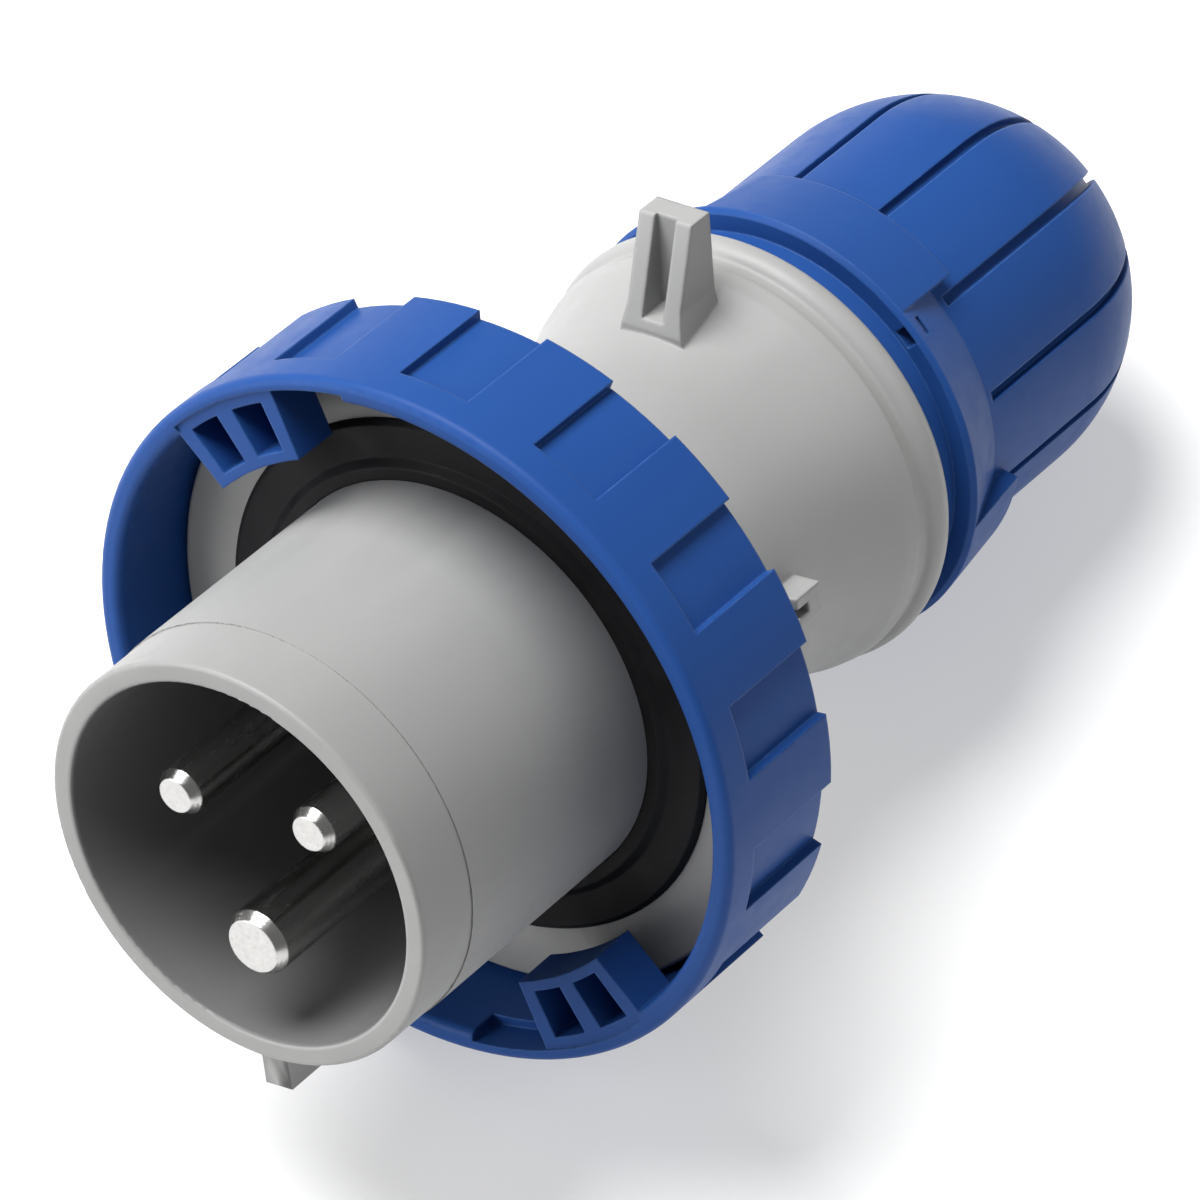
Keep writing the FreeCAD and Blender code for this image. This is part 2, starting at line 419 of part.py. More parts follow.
def fill_sheet():
    row = 1
    for alias, number, meaning in SIZES:
        sheet.set(f"A{row}", meaning)
        sheet.set(f"B{row}", str(number))
        sheet.setAlias(f"B{row}", alias)
        row += 1
    for alias, formula, meaning in DERIVED:
        sheet.set(f"A{row}", meaning)
        sheet.set(f"B{row}", "=" + formula)
        sheet.setAlias(f"B{row}", alias)
        row += 1
    doc.recompute()


def size(alias):
    return float(sheet.get(alias))


# A vertex is given by two sheet values, as x and y or as radius and angle
def at(x, y, sign=1):
    return (f"dims.{x}", size(x), f"{sign} * dims.{y}", sign * size(y))


def polar(radius, angle):
    turn = math.radians(size(angle))
    return (f"dims.{radius} * cos(dims.{angle} * 1deg)", size(radius) * math.cos(turn),
            f"dims.{radius} * sin(dims.{angle} * 1deg)", size(radius) * math.sin(turn))


def new_body(name):
    body = doc.addObject("PartDesign::Body", name)
    body.Label = name
    return body


def origin_feature(body, role):
    return next(f for f in body.Origin.OriginFeatures if f.Role == role)


def sketch_on(body, name, role, shift=None, turn=None, turn_axis=(0, 0, 1)):
    sketch = body.newObject("Sketcher::SketchObject", name)
    sketch.AttachmentSupport = [(origin_feature(body, role), "")]
    sketch.MapMode = "FlatFace"
    height = size(shift) if shift else 0.0
    angle = size(turn) if turn else 0.0
    sketch.AttachmentOffset = FreeCAD.Placement(
        FreeCAD.Vector(0, 0, height), FreeCAD.Rotation(FreeCAD.Vector(*turn_axis), angle))
    if shift:
        sketch.setExpression("AttachmentOffset.Base.z", f"dims.{shift}")
    if turn:
        sketch.setExpression("AttachmentOffset.Rotation.Angle", f"dims.{turn} * 1deg")
    return sketch


def fix_point(sketch, element, position, vertex):
    x_text, x_value, y_text, y_value = vertex
    if abs(x_value) < NEARLY_NOTHING:
        sketch.addConstraint(Sketcher.Constraint("PointOnObject", element, position, -2))
    else:
        sketch.addConstraint(Sketcher.Constraint("DistanceX", -1, 1, element, position, x_value))
        sketch.setExpression(f"Constraints[{sketch.ConstraintCount - 1}]", x_text)
    if abs(y_value) < NEARLY_NOTHING:
        sketch.addConstraint(Sketcher.Constraint("PointOnObject", element, position, -1))
    else:
        sketch.addConstraint(Sketcher.Constraint("DistanceY", -1, 1, element, position, y_value))
        sketch.setExpression(f"Constraints[{sketch.ConstraintCount - 1}]", y_text)


# Closed outline through the vertices; bends gives the radius of a curved side by the number of
# its first vertex, with side +1 for a centre on the left of the way to the next vertex
def outline(sketch, vertices, bends=None):
    bends = bends or {}
    points = [FreeCAD.Vector(v[1], v[3], 0) for v in vertices]
    ends = []
    for number, start in enumerate(points):
        stop = points[(number + 1) % len(points)]
        if number not in bends:
            ends.append((sketch.addGeometry(Part.LineSegment(start, stop), False), 1, 2))
            continue
        alias, side = bends[number]
        radius = size(alias)
        chord = stop - start
        half = chord.Length / 2
        normal = FreeCAD.Vector(-chord.y, chord.x, 0).normalize()
        centre = (start + stop) * 0.5 + normal * (side * math.sqrt(radius * radius - half * half))
        first, last = (start, stop) if side > 0 else (stop, start)
        angles = [math.atan2(p.y - centre.y, p.x - centre.x) for p in (first, last)]
        circle = Part.Circle(centre, FreeCAD.Vector(0, 0, 1), radius)
        arc = sketch.addGeometry(Part.ArcOfCircle(circle, angles[0], angles[1]), False)
        ends.append((arc, 1, 2) if side > 0 else (arc, 2, 1))
    for number, (element, _, last) in enumerate(ends):
        following, first, _ = ends[(number + 1) % len(ends)]
        sketch.addConstraint(Sketcher.Constraint("Coincident", element, last, following, first))
    for number, (element, first, _) in enumerate(ends):
        fix_point(sketch, element, first, vertices[number])
        if number in bends:
            alias = bends[number][0]
            sketch.addConstraint(Sketcher.Constraint("Radius", element, size(alias)))
            sketch.setExpression(f"Constraints[{sketch.ConstraintCount - 1}]", f"dims.{alias}")


def circle_on(sketch, centre, radius):
    point = FreeCAD.Vector(centre[1], centre[3], 0)
    element = sketch.addGeometry(Part.Circle(point, FreeCAD.Vector(0, 0, 1), size(radius)), False)
    fix_point(sketch, element, 3, centre)
    sketch.addConstraint(Sketcher.Constraint("Radius", element, size(radius)))
    sketch.setExpression(f"Constraints[{sketch.ConstraintCount - 1}]", f"dims.{radius}")


def box_outline(sketch, low, high, half):
    outline(sketch, [at(low, half, -1), at(high, half, -1), at(high, half), at(low, half)])


def sector_outline(sketch, low, high, start, end):
    corners = [polar(low, start), polar(high, start), polar(high, end), polar(low, end)]
    outline(sketch, corners, {1: (high, 1), 3: (low, -1)})


def revolve(body, sketch, name, span=None):
    feature = body.newObject("PartDesign::Revolution", name)
    feature.Profile = sketch
    feature.ReferenceAxis = (sketch, ["H_Axis"])
    feature.Angle = size(span) if span else 360
    if span:
        feature.setExpression("Angle", f"dims.{span} * 1deg")
    doc.recompute()
    return feature


def extrude(body, kind, sketch, name, length, backwards=False, both_sides=False):
    feature = body.newObject(kind, name)
    feature.Profile = sketch
    feature.Length = size(length)
    feature.setExpression("Length", f"dims.{length}")
    feature.Reversed = backwards
    if both_sides:
        feature.Midplane = True
    doc.recompute()
    return feature


# Pads grow and pockets cut towards +X unless backwards is set, which a change of volume confirms
def pad(body, sketch, name, length, both_sides=False):
    return extrude(body, "PartDesign::Pad", sketch, name, length, False, both_sides)


def pocket(body, sketch, name, length, backwards=False, both_sides=False):
    before = body.Shape.Volume
    feature = extrude(body, "PartDesign::Pocket", sketch, name, length, not backwards, both_sides)
    if not feature.Shape.Volume < before:
        raise RuntimeError(f"{name} removes nothing")
    return feature


def repeat_round(body, feature, name, count):
    pattern = body.newObject("PartDesign::PolarPattern", name)
    pattern.Originals = feature if isinstance(feature, list) else [feature]
    pattern.Axis = (origin_feature(body, "X_Axis"), [""])
    pattern.Angle = 360
    pattern.Occurrences = int(size(count))
    pattern.setExpression("Occurrences", f"dims.{count}")
    body.Tip = pattern
    doc.recompute()
    return pattern


# Rim circles are found by their radius and place along the axis
def ring_edges(shape, wanted):
    names = []
    for number, edge in enumerate(shape.Edges, 1):
        if not isinstance(edge.Curve, Part.Circle):
            continue
        centre = edge.Curve.Center
        for x, radius in wanted:
            along = abs(centre.x - size(x))
            aside = math.hypot(centre.y, centre.z)
            if max(along, aside, abs(edge.Curve.Radius - size(radius))) < SAME_SIZE:
                names.append(f"Edge{number}")
    return names


def round_rims(body, feature, name, wanted, radius):
    rounding = body.newObject("PartDesign::Fillet", name)
    rounding.Base = (feature, ring_edges(feature.Shape, wanted))
    rounding.Radius = size(radius)
    rounding.setExpression("Radius", f"dims.{radius}")
    doc.recompute()
    return rounding


fill_sheet()

# Angles of the pins and of the insert screws round the plug axis
EARTH_ANGLE = size("key_angle")
LINE_ANGLE = EARTH_ANGLE + size("pin_spacing")
NEUTRAL_ANGLE = EARTH_ANGLE - size("pin_spacing")
SCREW_ANGLES = (EARTH_ANGLE + size("insert_screw_offset"), EARTH_ANGLE - size("insert_screw_offset"))
PIN_ANGLES = {"earth": EARTH_ANGLE, "line": LINE_ANGLE, "neutral": NEUTRAL_ANGLE}


# Two holes at equal angles to both sides of the earth pin
def drill_insert_screws(body, name, shift, radius, length, backwards=False):
    for number, side in enumerate((1, -1), 1):
        sketch = sketch_on(body, f"{name}_{number}_outline", "YZ_Plane", shift, "key_angle")
        circle_on(sketch, polar_from_key(side), radius)
        pocket(body, sketch, f"{name}_{number}", length, backwards)


def polar_from_key(side):
    turn = math.radians(size("insert_screw_offset"))
    circle = size("insert_screw_circle")
    x_text = "dims.insert_screw_circle * cos(dims.insert_screw_offset * 1deg)"
    y_text = f"{side} * dims.insert_screw_circle * sin(dims.insert_screw_offset * 1deg)"
    return (x_text, circle * math.cos(turn), y_text, side * circle * math.sin(turn))


# Three holes on the pin circle, the one for the earth pin wider
def drill_pins(body, name, shift, line_radius, earth_radius, length, backwards=False):
    sketch = sketch_on(body, f"{name}_earth_outline", "YZ_Plane", shift, "key_angle")
    circle_on(sketch, at("pin_circle", "axis_line"), earth_radius)
    pocket(body, sketch, f"{name}_earth", length, backwards)
    for number, side in enumerate((1, -1), 1):
        sketch = sketch_on(body, f"{name}_{number}_outline", "YZ_Plane", shift, "key_angle")
        turn = math.radians(size("pin_spacing"))
        circle = size("pin_circle")
        x_text = "dims.pin_circle * cos(dims.pin_spacing * 1deg)"
        y_text = f"{side} * dims.pin_circle * sin(dims.pin_spacing * 1deg)"
        centre = (x_text, circle * math.cos(turn), y_text, side * circle * math.sin(turn))
        circle_on(sketch, centre, line_radius)
        pocket(body, sketch, f"{name}_{number}", length, backwards)


# Sleeve body: sleeve, base wall, flange with gasket seat, hub and rear skirt in one moulding
sleeve_body = new_body("sleeve_body")
sleeve_sketch = sketch_on(sleeve_body, "sleeve_outline", "XY_Plane")
outline(sleeve_sketch, [
    at("rim_x", "sleeve_inner"), at("rim_x", "sleeve_front_outer"),
    at("sleeve_step_x", "sleeve_front_outer"), at("sleeve_step_x", "sleeve_outer"),
    at("gasket_seat_x", "sleeve_outer"), at("gasket_seat_x", "gasket_seat_outer"),
    at("flange_front_x", "gasket_seat_outer"), at("flange_front_x", "flange_radius"),
    at("flange_back_x", "flange_radius"), at("flange_back_x", "hub_radius"),
    at("hub_back_x", "hub_radius"), at("hub_back_x", "skirt_outer"),
    at("seal_groove_x", "skirt_outer"), at("seal_groove_x", "seal_groove_radius"),
    at("seal_groove_back_x", "seal_groove_radius"), at("seal_groove_back_x", "skirt_outer"),
    at("skirt_end_x", "skirt_outer"), at("skirt_end_x", "skirt_inner"),
    at("hub_back_x", "skirt_inner"), at("hub_back_x", "axis_line"),
    at("floor_x", "axis_line"), at("floor_x", "sleeve_inner")])
sleeve_turned = revolve(sleeve_body, sleeve_sketch, "sleeve_turned")
sleeve_rounded = round_rims(sleeve_body, sleeve_turned, "sleeve_rims", [
    ("rim_x", "sleeve_inner"), ("rim_x", "sleeve_front_outer")], "rim_round")
flange_rounded = round_rims(sleeve_body, sleeve_rounded, "flange_rims", [
    ("flange_front_x", "flange_radius"), ("flange_back_x", "flange_radius")], "flange_round")
key_sketch = sketch_on(sleeve_body, "key_outline", "YZ_Plane", "key_front_x", "key_angle")
box_outline(key_sketch, "key_low", "key_high", "key_half")
pad(sleeve_body, key_sketch, "key_rib", "key_length")
drill_pins(sleeve_body, "pin_hole", "hub_back_x", "line_hole", "earth_hole", "base_depth", True)
drill_insert_screws(sleeve_body, "screw_hole", "hub_back_x", "insert_hole", "insert_hole_depth", True)

# Face gasket: rubber ring with a raised lip round the foot of the sleeve
face_gasket = new_body("face_gasket")
gasket_sketch = sketch_on(face_gasket, "gasket_outline", "XY_Plane")
outline(gasket_sketch, [
    at("gasket_lip_x", "gasket_inner"), at("gasket_lip_x", "gasket_lip_outer"),
    at("gasket_face_x", "gasket_slope_outer"), at("gasket_face_x", "gasket_edge_inner"),
    at("gasket_edge_x", "gasket_outer"), at("gasket_back_x", "gasket_outer"),
    at("gasket_back_x", "gasket_inner")])
revolve(face_gasket, gasket_sketch, "gasket_turned")

# Body seal: O-ring in the groove of the rear skirt
body_seal = doc.addObject("Part::Torus", "body_seal")
body_seal.Label = "body_seal"
body_seal.setExpression("Radius1", "dims.seal_ring_radius")
body_seal.setExpression("Radius2", "dims.seal_wire")

# Contact pins: turned with bevelled tip, a seat for the base wall, a collar behind it and a tail
# filed to a flat tongue. A pin is drawn on its own axis, with y pointing away from the plug axis.
def make_pin(name, tip_x, bevel_end_x, tip, shank, seat, collar):
    body = new_body(name)
    sketch = sketch_on(body, f"{name}_outline", "XY_Plane")
    outline(sketch, [
        at(tip_x, "axis_line"), at(tip_x, tip), at(bevel_end_x, shank),
        at("floor_x", shank), at("floor_x", seat), at("hub_back_x", seat),
        at("hub_back_x", collar), at("collar_back_x", collar), at("collar_back_x", "tail_radius"),
        at("tail_end_x", "tail_radius"), at("tail_end_x", "axis_line")])
    revolve(body, sketch, f"{name}_turned")
    flat = sketch_on(body, f"{name}_flat_outline", "YZ_Plane", "tongue_front_x")
    box_outline(flat, "tongue_face", "tail_clear", "tail_clear")
    pocket(body, flat, f"{name}_tongue", "tongue_length")
    return body


line_pin = make_pin("line_pin", "pin_tip_x", "bevel_x",
                    "line_tip", "line_pin_radius", "line_seat", "line_collar")
neutral_pin = make_pin("neutral_pin", "pin_tip_x", "bevel_x",
                       "line_tip", "line_pin_radius", "line_seat", "line_collar")
earth_pin = make_pin("earth_pin", "earth_tip_x", "earth_bevel_x",
                     "earth_tip", "earth_pin_radius", "earth_seat", "earth_collar")

# Pin carrier: disc that presses the pin collars against the base wall
pin_carrier = new_body("pin_carrier")
carrier_sketch = sketch_on(pin_carrier, "carrier_outline", "YZ_Plane", "carrier_front_x")
circle_on(carrier_sketch, at("axis_line", "axis_line"), "carrier_radius")
pad(pin_carrier, carrier_sketch, "carrier_disc", "carrier_length")
drill_pins(pin_carrier, "collar_recess", "carrier_front_x", "line_collar_bore", "earth_collar_bore",
           "collar_bore_depth")
drill_pins(pin_carrier, "tail_passage", "carrier_front_x", "tail_hole", "tail_hole", "carrier_length")
drill_insert_screws(pin_carrier, "screw_passage", "carrier_front_x", "insert_clear", "carrier_length")

# Terminal housing: block with three chambers open outwards and towards the cable
terminal_housing = new_body("terminal_housing")
housing_sketch = sketch_on(terminal_housing, "housing_outline", "YZ_Plane", "housing_front_x")
circle_on(housing_sketch, at("axis_line", "axis_line"), "carrier_radius")
pad(terminal_housing, housing_sketch, "housing_block", "housing_length")
chamber_sketch = sketch_on(terminal_housing, "chamber_outline", "YZ_Plane", "chamber_front_x", "key_angle")
box_outline(chamber_sketch, "chamber_floor", "chamber_reach", "chamber_half")
chamber = pocket(terminal_housing, chamber_sketch, "chamber", "chamber_depth")
repeat_round(terminal_housing, chamber, "chambers", "pole_count")
drill_pins(terminal_housing, "tail_passage", "housing_front_x", "tail_hole", "tail_hole", "housing_wall")
drill_insert_screws(terminal_housing, "screw_passage", "housing_front_x", "insert_clear",
                    "housing_length")

# Terminal clamps: frames with a window for tongue and wire and a threaded hole, drawn at the
# earth pin's place with y pointing away from the plug axis
def make_clamp(name):
    body = new_body(name)
    sketch = sketch_on(body, f"{name}_outline", "YZ_Plane", "clamp_front_x")
    box_outline(sketch, "clamp_bottom", "clamp_top", "clamp_half")
    block = pad(body, sketch, f"{name}_block", "clamp_length")
    long_edges = []
    for number, edge in enumerate(block.Shape.Edges, 1):
        if abs(edge.BoundBox.XLength - size("clamp_length")) < SAME_SIZE:
            long_edges.append(f"Edge{number}")
    rounding = body.newObject("PartDesign::Fillet", f"{name}_edges")
    rounding.Base = (block, long_edges)
    rounding.Radius = size("clamp_round")
    rounding.setExpression("Radius", "dims.clamp_round")
    doc.recompute()
    window = sketch_on(body, f"{name}_window_outline", "YZ_Plane", "clamp_front_x")
    box_outline(window, "window_bottom", "window_top", "window_half")
    pocket(body, window, f"{name}_window", "clamp_length")
    hole = sketch_on(body, f"{name}_hole_outline", "XZ_Plane")
    hole.AttachmentOffset = FreeCAD.Placement(
        FreeCAD.Vector(0, 0, -size("clamp_top")), FreeCAD.Rotation())
    hole.setExpression("AttachmentOffset.Base.z", "-dims.clamp_top")
    circle_on(hole, at("clamp_screw_x", "axis_line"), "clamp_hole")
    pocket(body, hole, f"{name}_hole", "clamp_hole_depth")
    return body


line_clamp = make_clamp("line_clamp")
neutral_clamp = make_clamp("neutral_clamp")
earth_clamp = make_clamp("earth_clamp")

# Wire plates: one thin plate under each terminal screw
wire_plates = new_body("wire_plates")
plate_sketch = sketch_on(wire_plates, "plate_outline", "YZ_Plane", "plate_front_x", "key_angle")
box_outline(plate_sketch, "plate_bottom", "plate_top", "plate_half")
plate = pad(wire_plates, plate_sketch, "plate", "plate_length")
repeat_round(wire_plates, plate, "plates", "pole_count")

# Terminal screws: cheese heads with a slot, their axes pointing outwards from the plug axis
terminal_screws = new_body("terminal_screws")
screw_sketch = sketch_on(terminal_screws, "screw_outline", "XY_Plane", None, "key_angle", (1, 0, 0))
outline(screw_sketch, [
    at("clamp_screw_x", "clamp_screw_tip"), at("screw_side_x", "clamp_screw_tip"),
    at("screw_side_x", "clamp_screw_head_low"), at("screw_head_side_x", "clamp_screw_head_low"),
    at("screw_head_side_x", "clamp_screw_head_high"), at("clamp_screw_x", "clamp_screw_head_high")])
screw_turned = terminal_screws.newObject("PartDesign::Revolution", "screw_turned")
screw_turned.Profile = screw_sketch
screw_turned.ReferenceAxis = (screw_sketch, ["Edge6"])
screw_turned.Angle = 360
doc.recompute()
slot_sketch = sketch_on(terminal_screws, "screw_slot_outline", "XY_Plane", None, "key_angle", (1, 0, 0))
outline(slot_sketch, [
    at("screw_slot_front_x", "screw_slot_floor"), at("screw_slot_back_x", "screw_slot_floor"),
    at("screw_slot_back_x", "screw_slot_reach"), at("screw_slot_front_x", "screw_slot_reach")])
screw_slot = pocket(terminal_screws, slot_sketch, "screw_slot", "screw_slot_length", both_sides=True)
repeat_round(terminal_screws, [screw_turned, screw_slot], "screws", "pole_count")

# Insert screws: two screws along the plug axis, drawn once as a form and set in both places
screw_form = new_body("insert_screw_form")
form_sketch = sketch_on(screw_form, "insert_screw_outline", "XY_Plane")
outline(form_sketch, [
    at("insert_screw_tip_x", "axis_line"), at("insert_screw_tip_x", "insert_screw_radius"),
    at("insert_head_x", "insert_screw_radius"), at("insert_head_x", "insert_head_radius"),
    at("insert_head_back_x", "insert_head_radius"), at("insert_head_back_x", "axis_line")])
revolve(screw_form, form_sketch, "insert_screw_turned")
form_slot = sketch_on(screw_form, "insert_slot_outline", "YZ_Plane", "insert_head_back_x")
box_outline(form_slot, "insert_slot_back", "insert_slot_reach", "slot_half")
pocket(screw_form, form_slot, "insert_slot", "slot_depth", True)
insert_screws = doc.addObject("Part::Feature", "insert_screws")
insert_screws.Label = "insert_screws"
screw_shapes = []
for angle in SCREW_ANGLES:
    copy = screw_form.Shape.copy()
    copy.translate(FreeCAD.Vector(0, size("insert_screw_circle"), 0))
    copy.rotate(FreeCAD.Vector(0, 0, 0), FreeCAD.Vector(1, 0, 0), angle)
    screw_shapes.append(copy)
insert_screws.Shape = Part.makeCompound(screw_shapes)

# Locking ring: shell with rounded front rim and an inner web, hollows between grip panels,
# and two hollowed bayonet blocks inside
locking_ring = new_body("locking_ring")
ring_sketch = sketch_on(locking_ring, "ring_outline", "XY_Plane")
outline(ring_sketch, [
    at("ring_front_x", "ring_inner"), at("ring_front_x", "ring_outer"),
    at("ring_back_x", "ring_outer"), at("ring_back_x", "ring_inner"),
    at("web_back_x", "ring_inner"), at("web_back_x", "web_inner"),
    at("web_front_x", "web_inner"), at("web_front_x", "ring_inner")])
ring_turned = revolve(locking_ring, ring_sketch, "ring_turned")
ring_rounded = round_rims(locking_ring, ring_turned, "ring_rims", [
    ("ring_front_x", "ring_inner"), ("ring_front_x", "ring_outer")], "ring_round")
hollow_sketch = sketch_on(locking_ring, "hollow_outline", "YZ_Plane", "panel_front_x")
sector_outline(hollow_sketch, "panel_floor", "panel_reach", "panel_start_angle", "panel_end_angle")
hollow = pocket(locking_ring, hollow_sketch, "hollow", "panel_length")
repeat_round(locking_ring, hollow, "hollows", "panel_count")
relief_sketch = sketch_on(locking_ring, "relief_outline", "YZ_Plane", "ring_front_x")
sector_outline(relief_sketch, "relief_low", "relief_radius", "relief_start_angle", "relief_end_angle")
relief = pocket(locking_ring, relief_sketch, "relief", "relief_length")
repeat_round(locking_ring, relief, "reliefs", "block_count")
block_sketch = sketch_on(locking_ring, "block_outline", "YZ_Plane", "block_front_x")
sector_outline(block_sketch, "block_inner", "block_outer", "block_start", "block_end")
block = pad(locking_ring, block_sketch, "block", "block_length")
repeat_round(locking_ring, block, "blocks", "block_count")
for number, start, end in ((1, "pocket_one_start", "pocket_one_end"),
                           (2, "pocket_two_start", "pocket_two_end")):
    pocket_sketch = sketch_on(locking_ring, f"block_pocket_{number}_outline", "YZ_Plane", "block_front_x")
    sector_outline(pocket_sketch, "pocket_low", "pocket_high", start, end)
    cut = pocket(locking_ring, pocket_sketch, f"block_pocket_{number}", "pocket_depth")
    repeat_round(locking_ring, cut, f"block_pockets_{number}", "block_count")

# Rear body: barrel with flare, lip and rolled edge, neck for the gland, slotted lug and small hook
rear_body = new_body("rear_body")
body_sketch = sketch_on(rear_body, "body_outline", "XY_Plane")
outline(body_sketch, [
    at("shoulder_x", "barrel_inner"), at("shoulder_x", "shoulder_radius"),
    at("shoulder_back_x", "shoulder_radius"), at("shoulder_back_x", "barrel_radius"),
    at("flare_x", "barrel_radius"), at("flare_end_x", "flare_radius"),
    at("lip_x", "lip_radius"), at("valley_x", "valley_radius"),
    at("bead_x", "bead_radius"), at("body_back_x", "bead_radius"),
    at("body_back_x", "neck_radius"), at("neck_end_x", "neck_radius"),
    at("neck_end_x", "neck_bore"), at("neck_stop_x", "neck_bore"),
    at("neck_stop_x", "cable_hole"), at("body_wall_x", "cable_hole"),
    at("body_wall_x", "barrel_inner")],
    {4: ("flare_bend", 1), 6: ("valley_bend", 1), 8: ("bead_bend", -1)})
revolve(rear_body, body_sketch, "body_turned")
lug_section = sketch_on(rear_body, "lug_outline", "YZ_Plane", "lug_toe_x", "lug_angle")
outline(lug_section, [
    at("lug_root", "lug_foot_half", -1), at("lug_foot_height", "lug_half", -1),
    at("lug_height", "lug_half", -1), at("lug_height", "lug_half"),
    at("lug_foot_height", "lug_half"), at("lug_root", "lug_foot_half")])
pad(rear_body, lug_section, "lug", "lug_length")
slope_side = sketch_on(rear_body, "lug_slope_outline", "XY_Plane", None, "lug_angle", (1, 0, 0))
outline(slope_side, [
    at("lug_slot_front_x", "lug_toe_height"), at("lug_toe_x", "lug_toe_height"),
    at("lug_rise_x", "lug_height"), at("lug_rise_x", "lug_slot_reach"),
    at("lug_slot_front_x", "lug_slot_reach")])
pocket(rear_body, slope_side, "lug_slope", "lug_slope_width", both_sides=True)
slot_side = sketch_on(rear_body, "lug_slot_outline", "XY_Plane", None, "lug_angle", (1, 0, 0))
outline(slot_side, [
    at("lug_slot_front_x", "lug_slot_floor"), at("lug_bridge_x", "lug_slot_floor"),
    at("lug_bridge_x", "lug_slot_reach"), at("lug_slot_front_x", "lug_slot_reach")])
pocket(rear_body, slot_side, "lug_slot", "lug_slot_width", both_sides=True)
hook_sketch = sketch_on(rear_body, "hook_outline", "YZ_Plane", "hook_front_x", "hook_angle")
box_outline(hook_sketch, "lug_root", "hook_height", "hook_half")
pad(rear_body, hook_sketch, "hook", "hook_length")
hook_slot_sketch = sketch_on(rear_body, "hook_slot_outline", "YZ_Plane", "hook_front_x", "hook_angle")
box_outline(hook_slot_sketch, "hook_slot_floor", "hook_reach", "hook_slot_half")
pocket(rear_body, hook_slot_sketch, "hook_slot", "hook_slot_length")

# Gland nut: collar, conical band with raised pads, long grooves running over the domed end,
# and pockets in its front face
gland_nut = new_body("gland_nut")
nut_sketch = sketch_on(gland_nut, "nut_outline", "XY_Plane")
outline(nut_sketch, [
    at("nut_front_x", "nut_bore"), at("nut_front_x", "nut_collar"),
    at("nut_face_x", "nut_collar"), at("nut_face_x", "nut_edge_radius"),
    at("nut_edge_x", "nut_radius"), at("band_back_x", "band_root"),
    at("dome_front_x", "dome_radius"), at("dome_x", "dome_radius"),
    at("dome_end_x", "dome_end_radius"), at("dome_end_x", "entry_radius"),
    at("cavity_end_x", "entry_radius"), at("dome_x", "cavity_radius"),
    at("cavity_step_x", "cavity_radius"), at("cavity_step_x", "nut_bore")],
    {7: ("dome_bend", -1), 10: ("cavity_bend", 1)})
revolve(gland_nut, nut_sketch, "nut_turned")
groove_sketch = sketch_on(gland_nut, "groove_outline", "XY_Plane", None, "nut_groove_angle", (1, 0, 0))
outline(groove_sketch, [
    at("nut_groove_x", "groove_floor"), at("dome_x", "groove_floor"),
    at("groove_end_x", "groove_end_radius"), at("groove_end_x", "groove_reach"),
    at("nut_groove_x", "groove_reach")], {1: ("groove_bend", -1)})
long_groove = pocket(gland_nut, groove_sketch, "long_groove", "nut_groove_width", both_sides=True)
repeat_round(gland_nut, long_groove, "long_grooves", "nut_groove_count")
pad_sketch = sketch_on(gland_nut, "pad_outline", "XY_Plane", None, "pad_angle", (1, 0, 0))
outline(pad_sketch, [
    at("nut_edge_x", "pad_root"), at("nut_edge_x", "nut_radius"),
    at("pad_back_x", "pad_back_radius"), at("pad_back_x", "pad_root")])
raised_pad = revolve(gland_nut, pad_sketch, "raised_pad", "pad_span")
repeat_round(gland_nut, raised_pad, "raised_pads", "pad_count")
face_sketch = sketch_on(gland_nut, "face_pocket_outline", "YZ_Plane", "nut_face_x", "face_pocket_angle")
box_outline(face_sketch, "face_pocket_low", "face_pocket_high", "face_pocket_half")
face_pocket = pocket(gland_nut, face_sketch, "face_pocket", "face_pocket_depth")
repeat_round(gland_nut, face_pocket, "face_pockets", "face_pocket_count")

# Gland seal: rubber bush with three sealing ribs inside and a collar over the neck's end
gland_seal = new_body("gland_seal")
gland_sketch = sketch_on(gland_seal, "gland_outline", "XY_Plane")
outline(gland_sketch, [
    at("gland_front_x", "gland_bore"), at("gland_front_x", "gland_radius"),
    at("gland_collar_x", "gland_radius"), at("gland_collar_x", "gland_collar_radius"),
    at("gland_back_x", "gland_collar_radius"), at("gland_back_x", "gland_bore"),
    at("gland_rib_four_x", "gland_bore"), at("gland_rib_four_x", "gland_ring_bore"),
    at("gland_rib_three_x", "gland_ring_bore"), at("gland_rib_three_x", "gland_bore"),
    at("gland_rib_two_x", "gland_bore"), at("gland_rib_two_x", "gland_ring_bore"),
    at("gland_rib_one_x", "gland_ring_bore"), at("gland_rib_one_x", "gland_bore")])
revolve(gland_seal, gland_sketch, "gland_turned")

# Clamp cage: base ring with fingers that the nut's dome presses on to the cable
clamp_cage = new_body("clamp_cage")
cage_sketch = sketch_on(clamp_cage, "cage_outline", "XY_Plane")
outline(cage_sketch, [
    at("cage_front_x", "cage_bore"), at("cage_front_x", "cage_base_radius"),
    at("cage_base_x", "cage_base_radius"), at("cage_base_x", "finger_outer"),
    at("dome_x", "finger_outer"), at("finger_end_x", "finger_end_outer"),
    at("finger_end_x", "finger_end_inner"), at("dome_x", "cage_bore")],
    {4: ("finger_bend", -1), 6: ("finger_inner_bend", 1)})
revolve(clamp_cage, cage_sketch, "cage_turned")
gap_sketch = sketch_on(clamp_cage, "finger_gap_outline", "XY_Plane", None, "finger_gap_angle", (1, 0, 0))
outline(gap_sketch, [
    at("finger_gap_x", "finger_gap_low"), at("finger_gap_end_x", "finger_gap_low"),
    at("finger_gap_end_x", "finger_gap_reach"), at("finger_gap_x", "finger_gap_reach")])
finger_gap = pocket(clamp_cage, gap_sketch, "finger_gap", "finger_gap_width", both_sides=True)
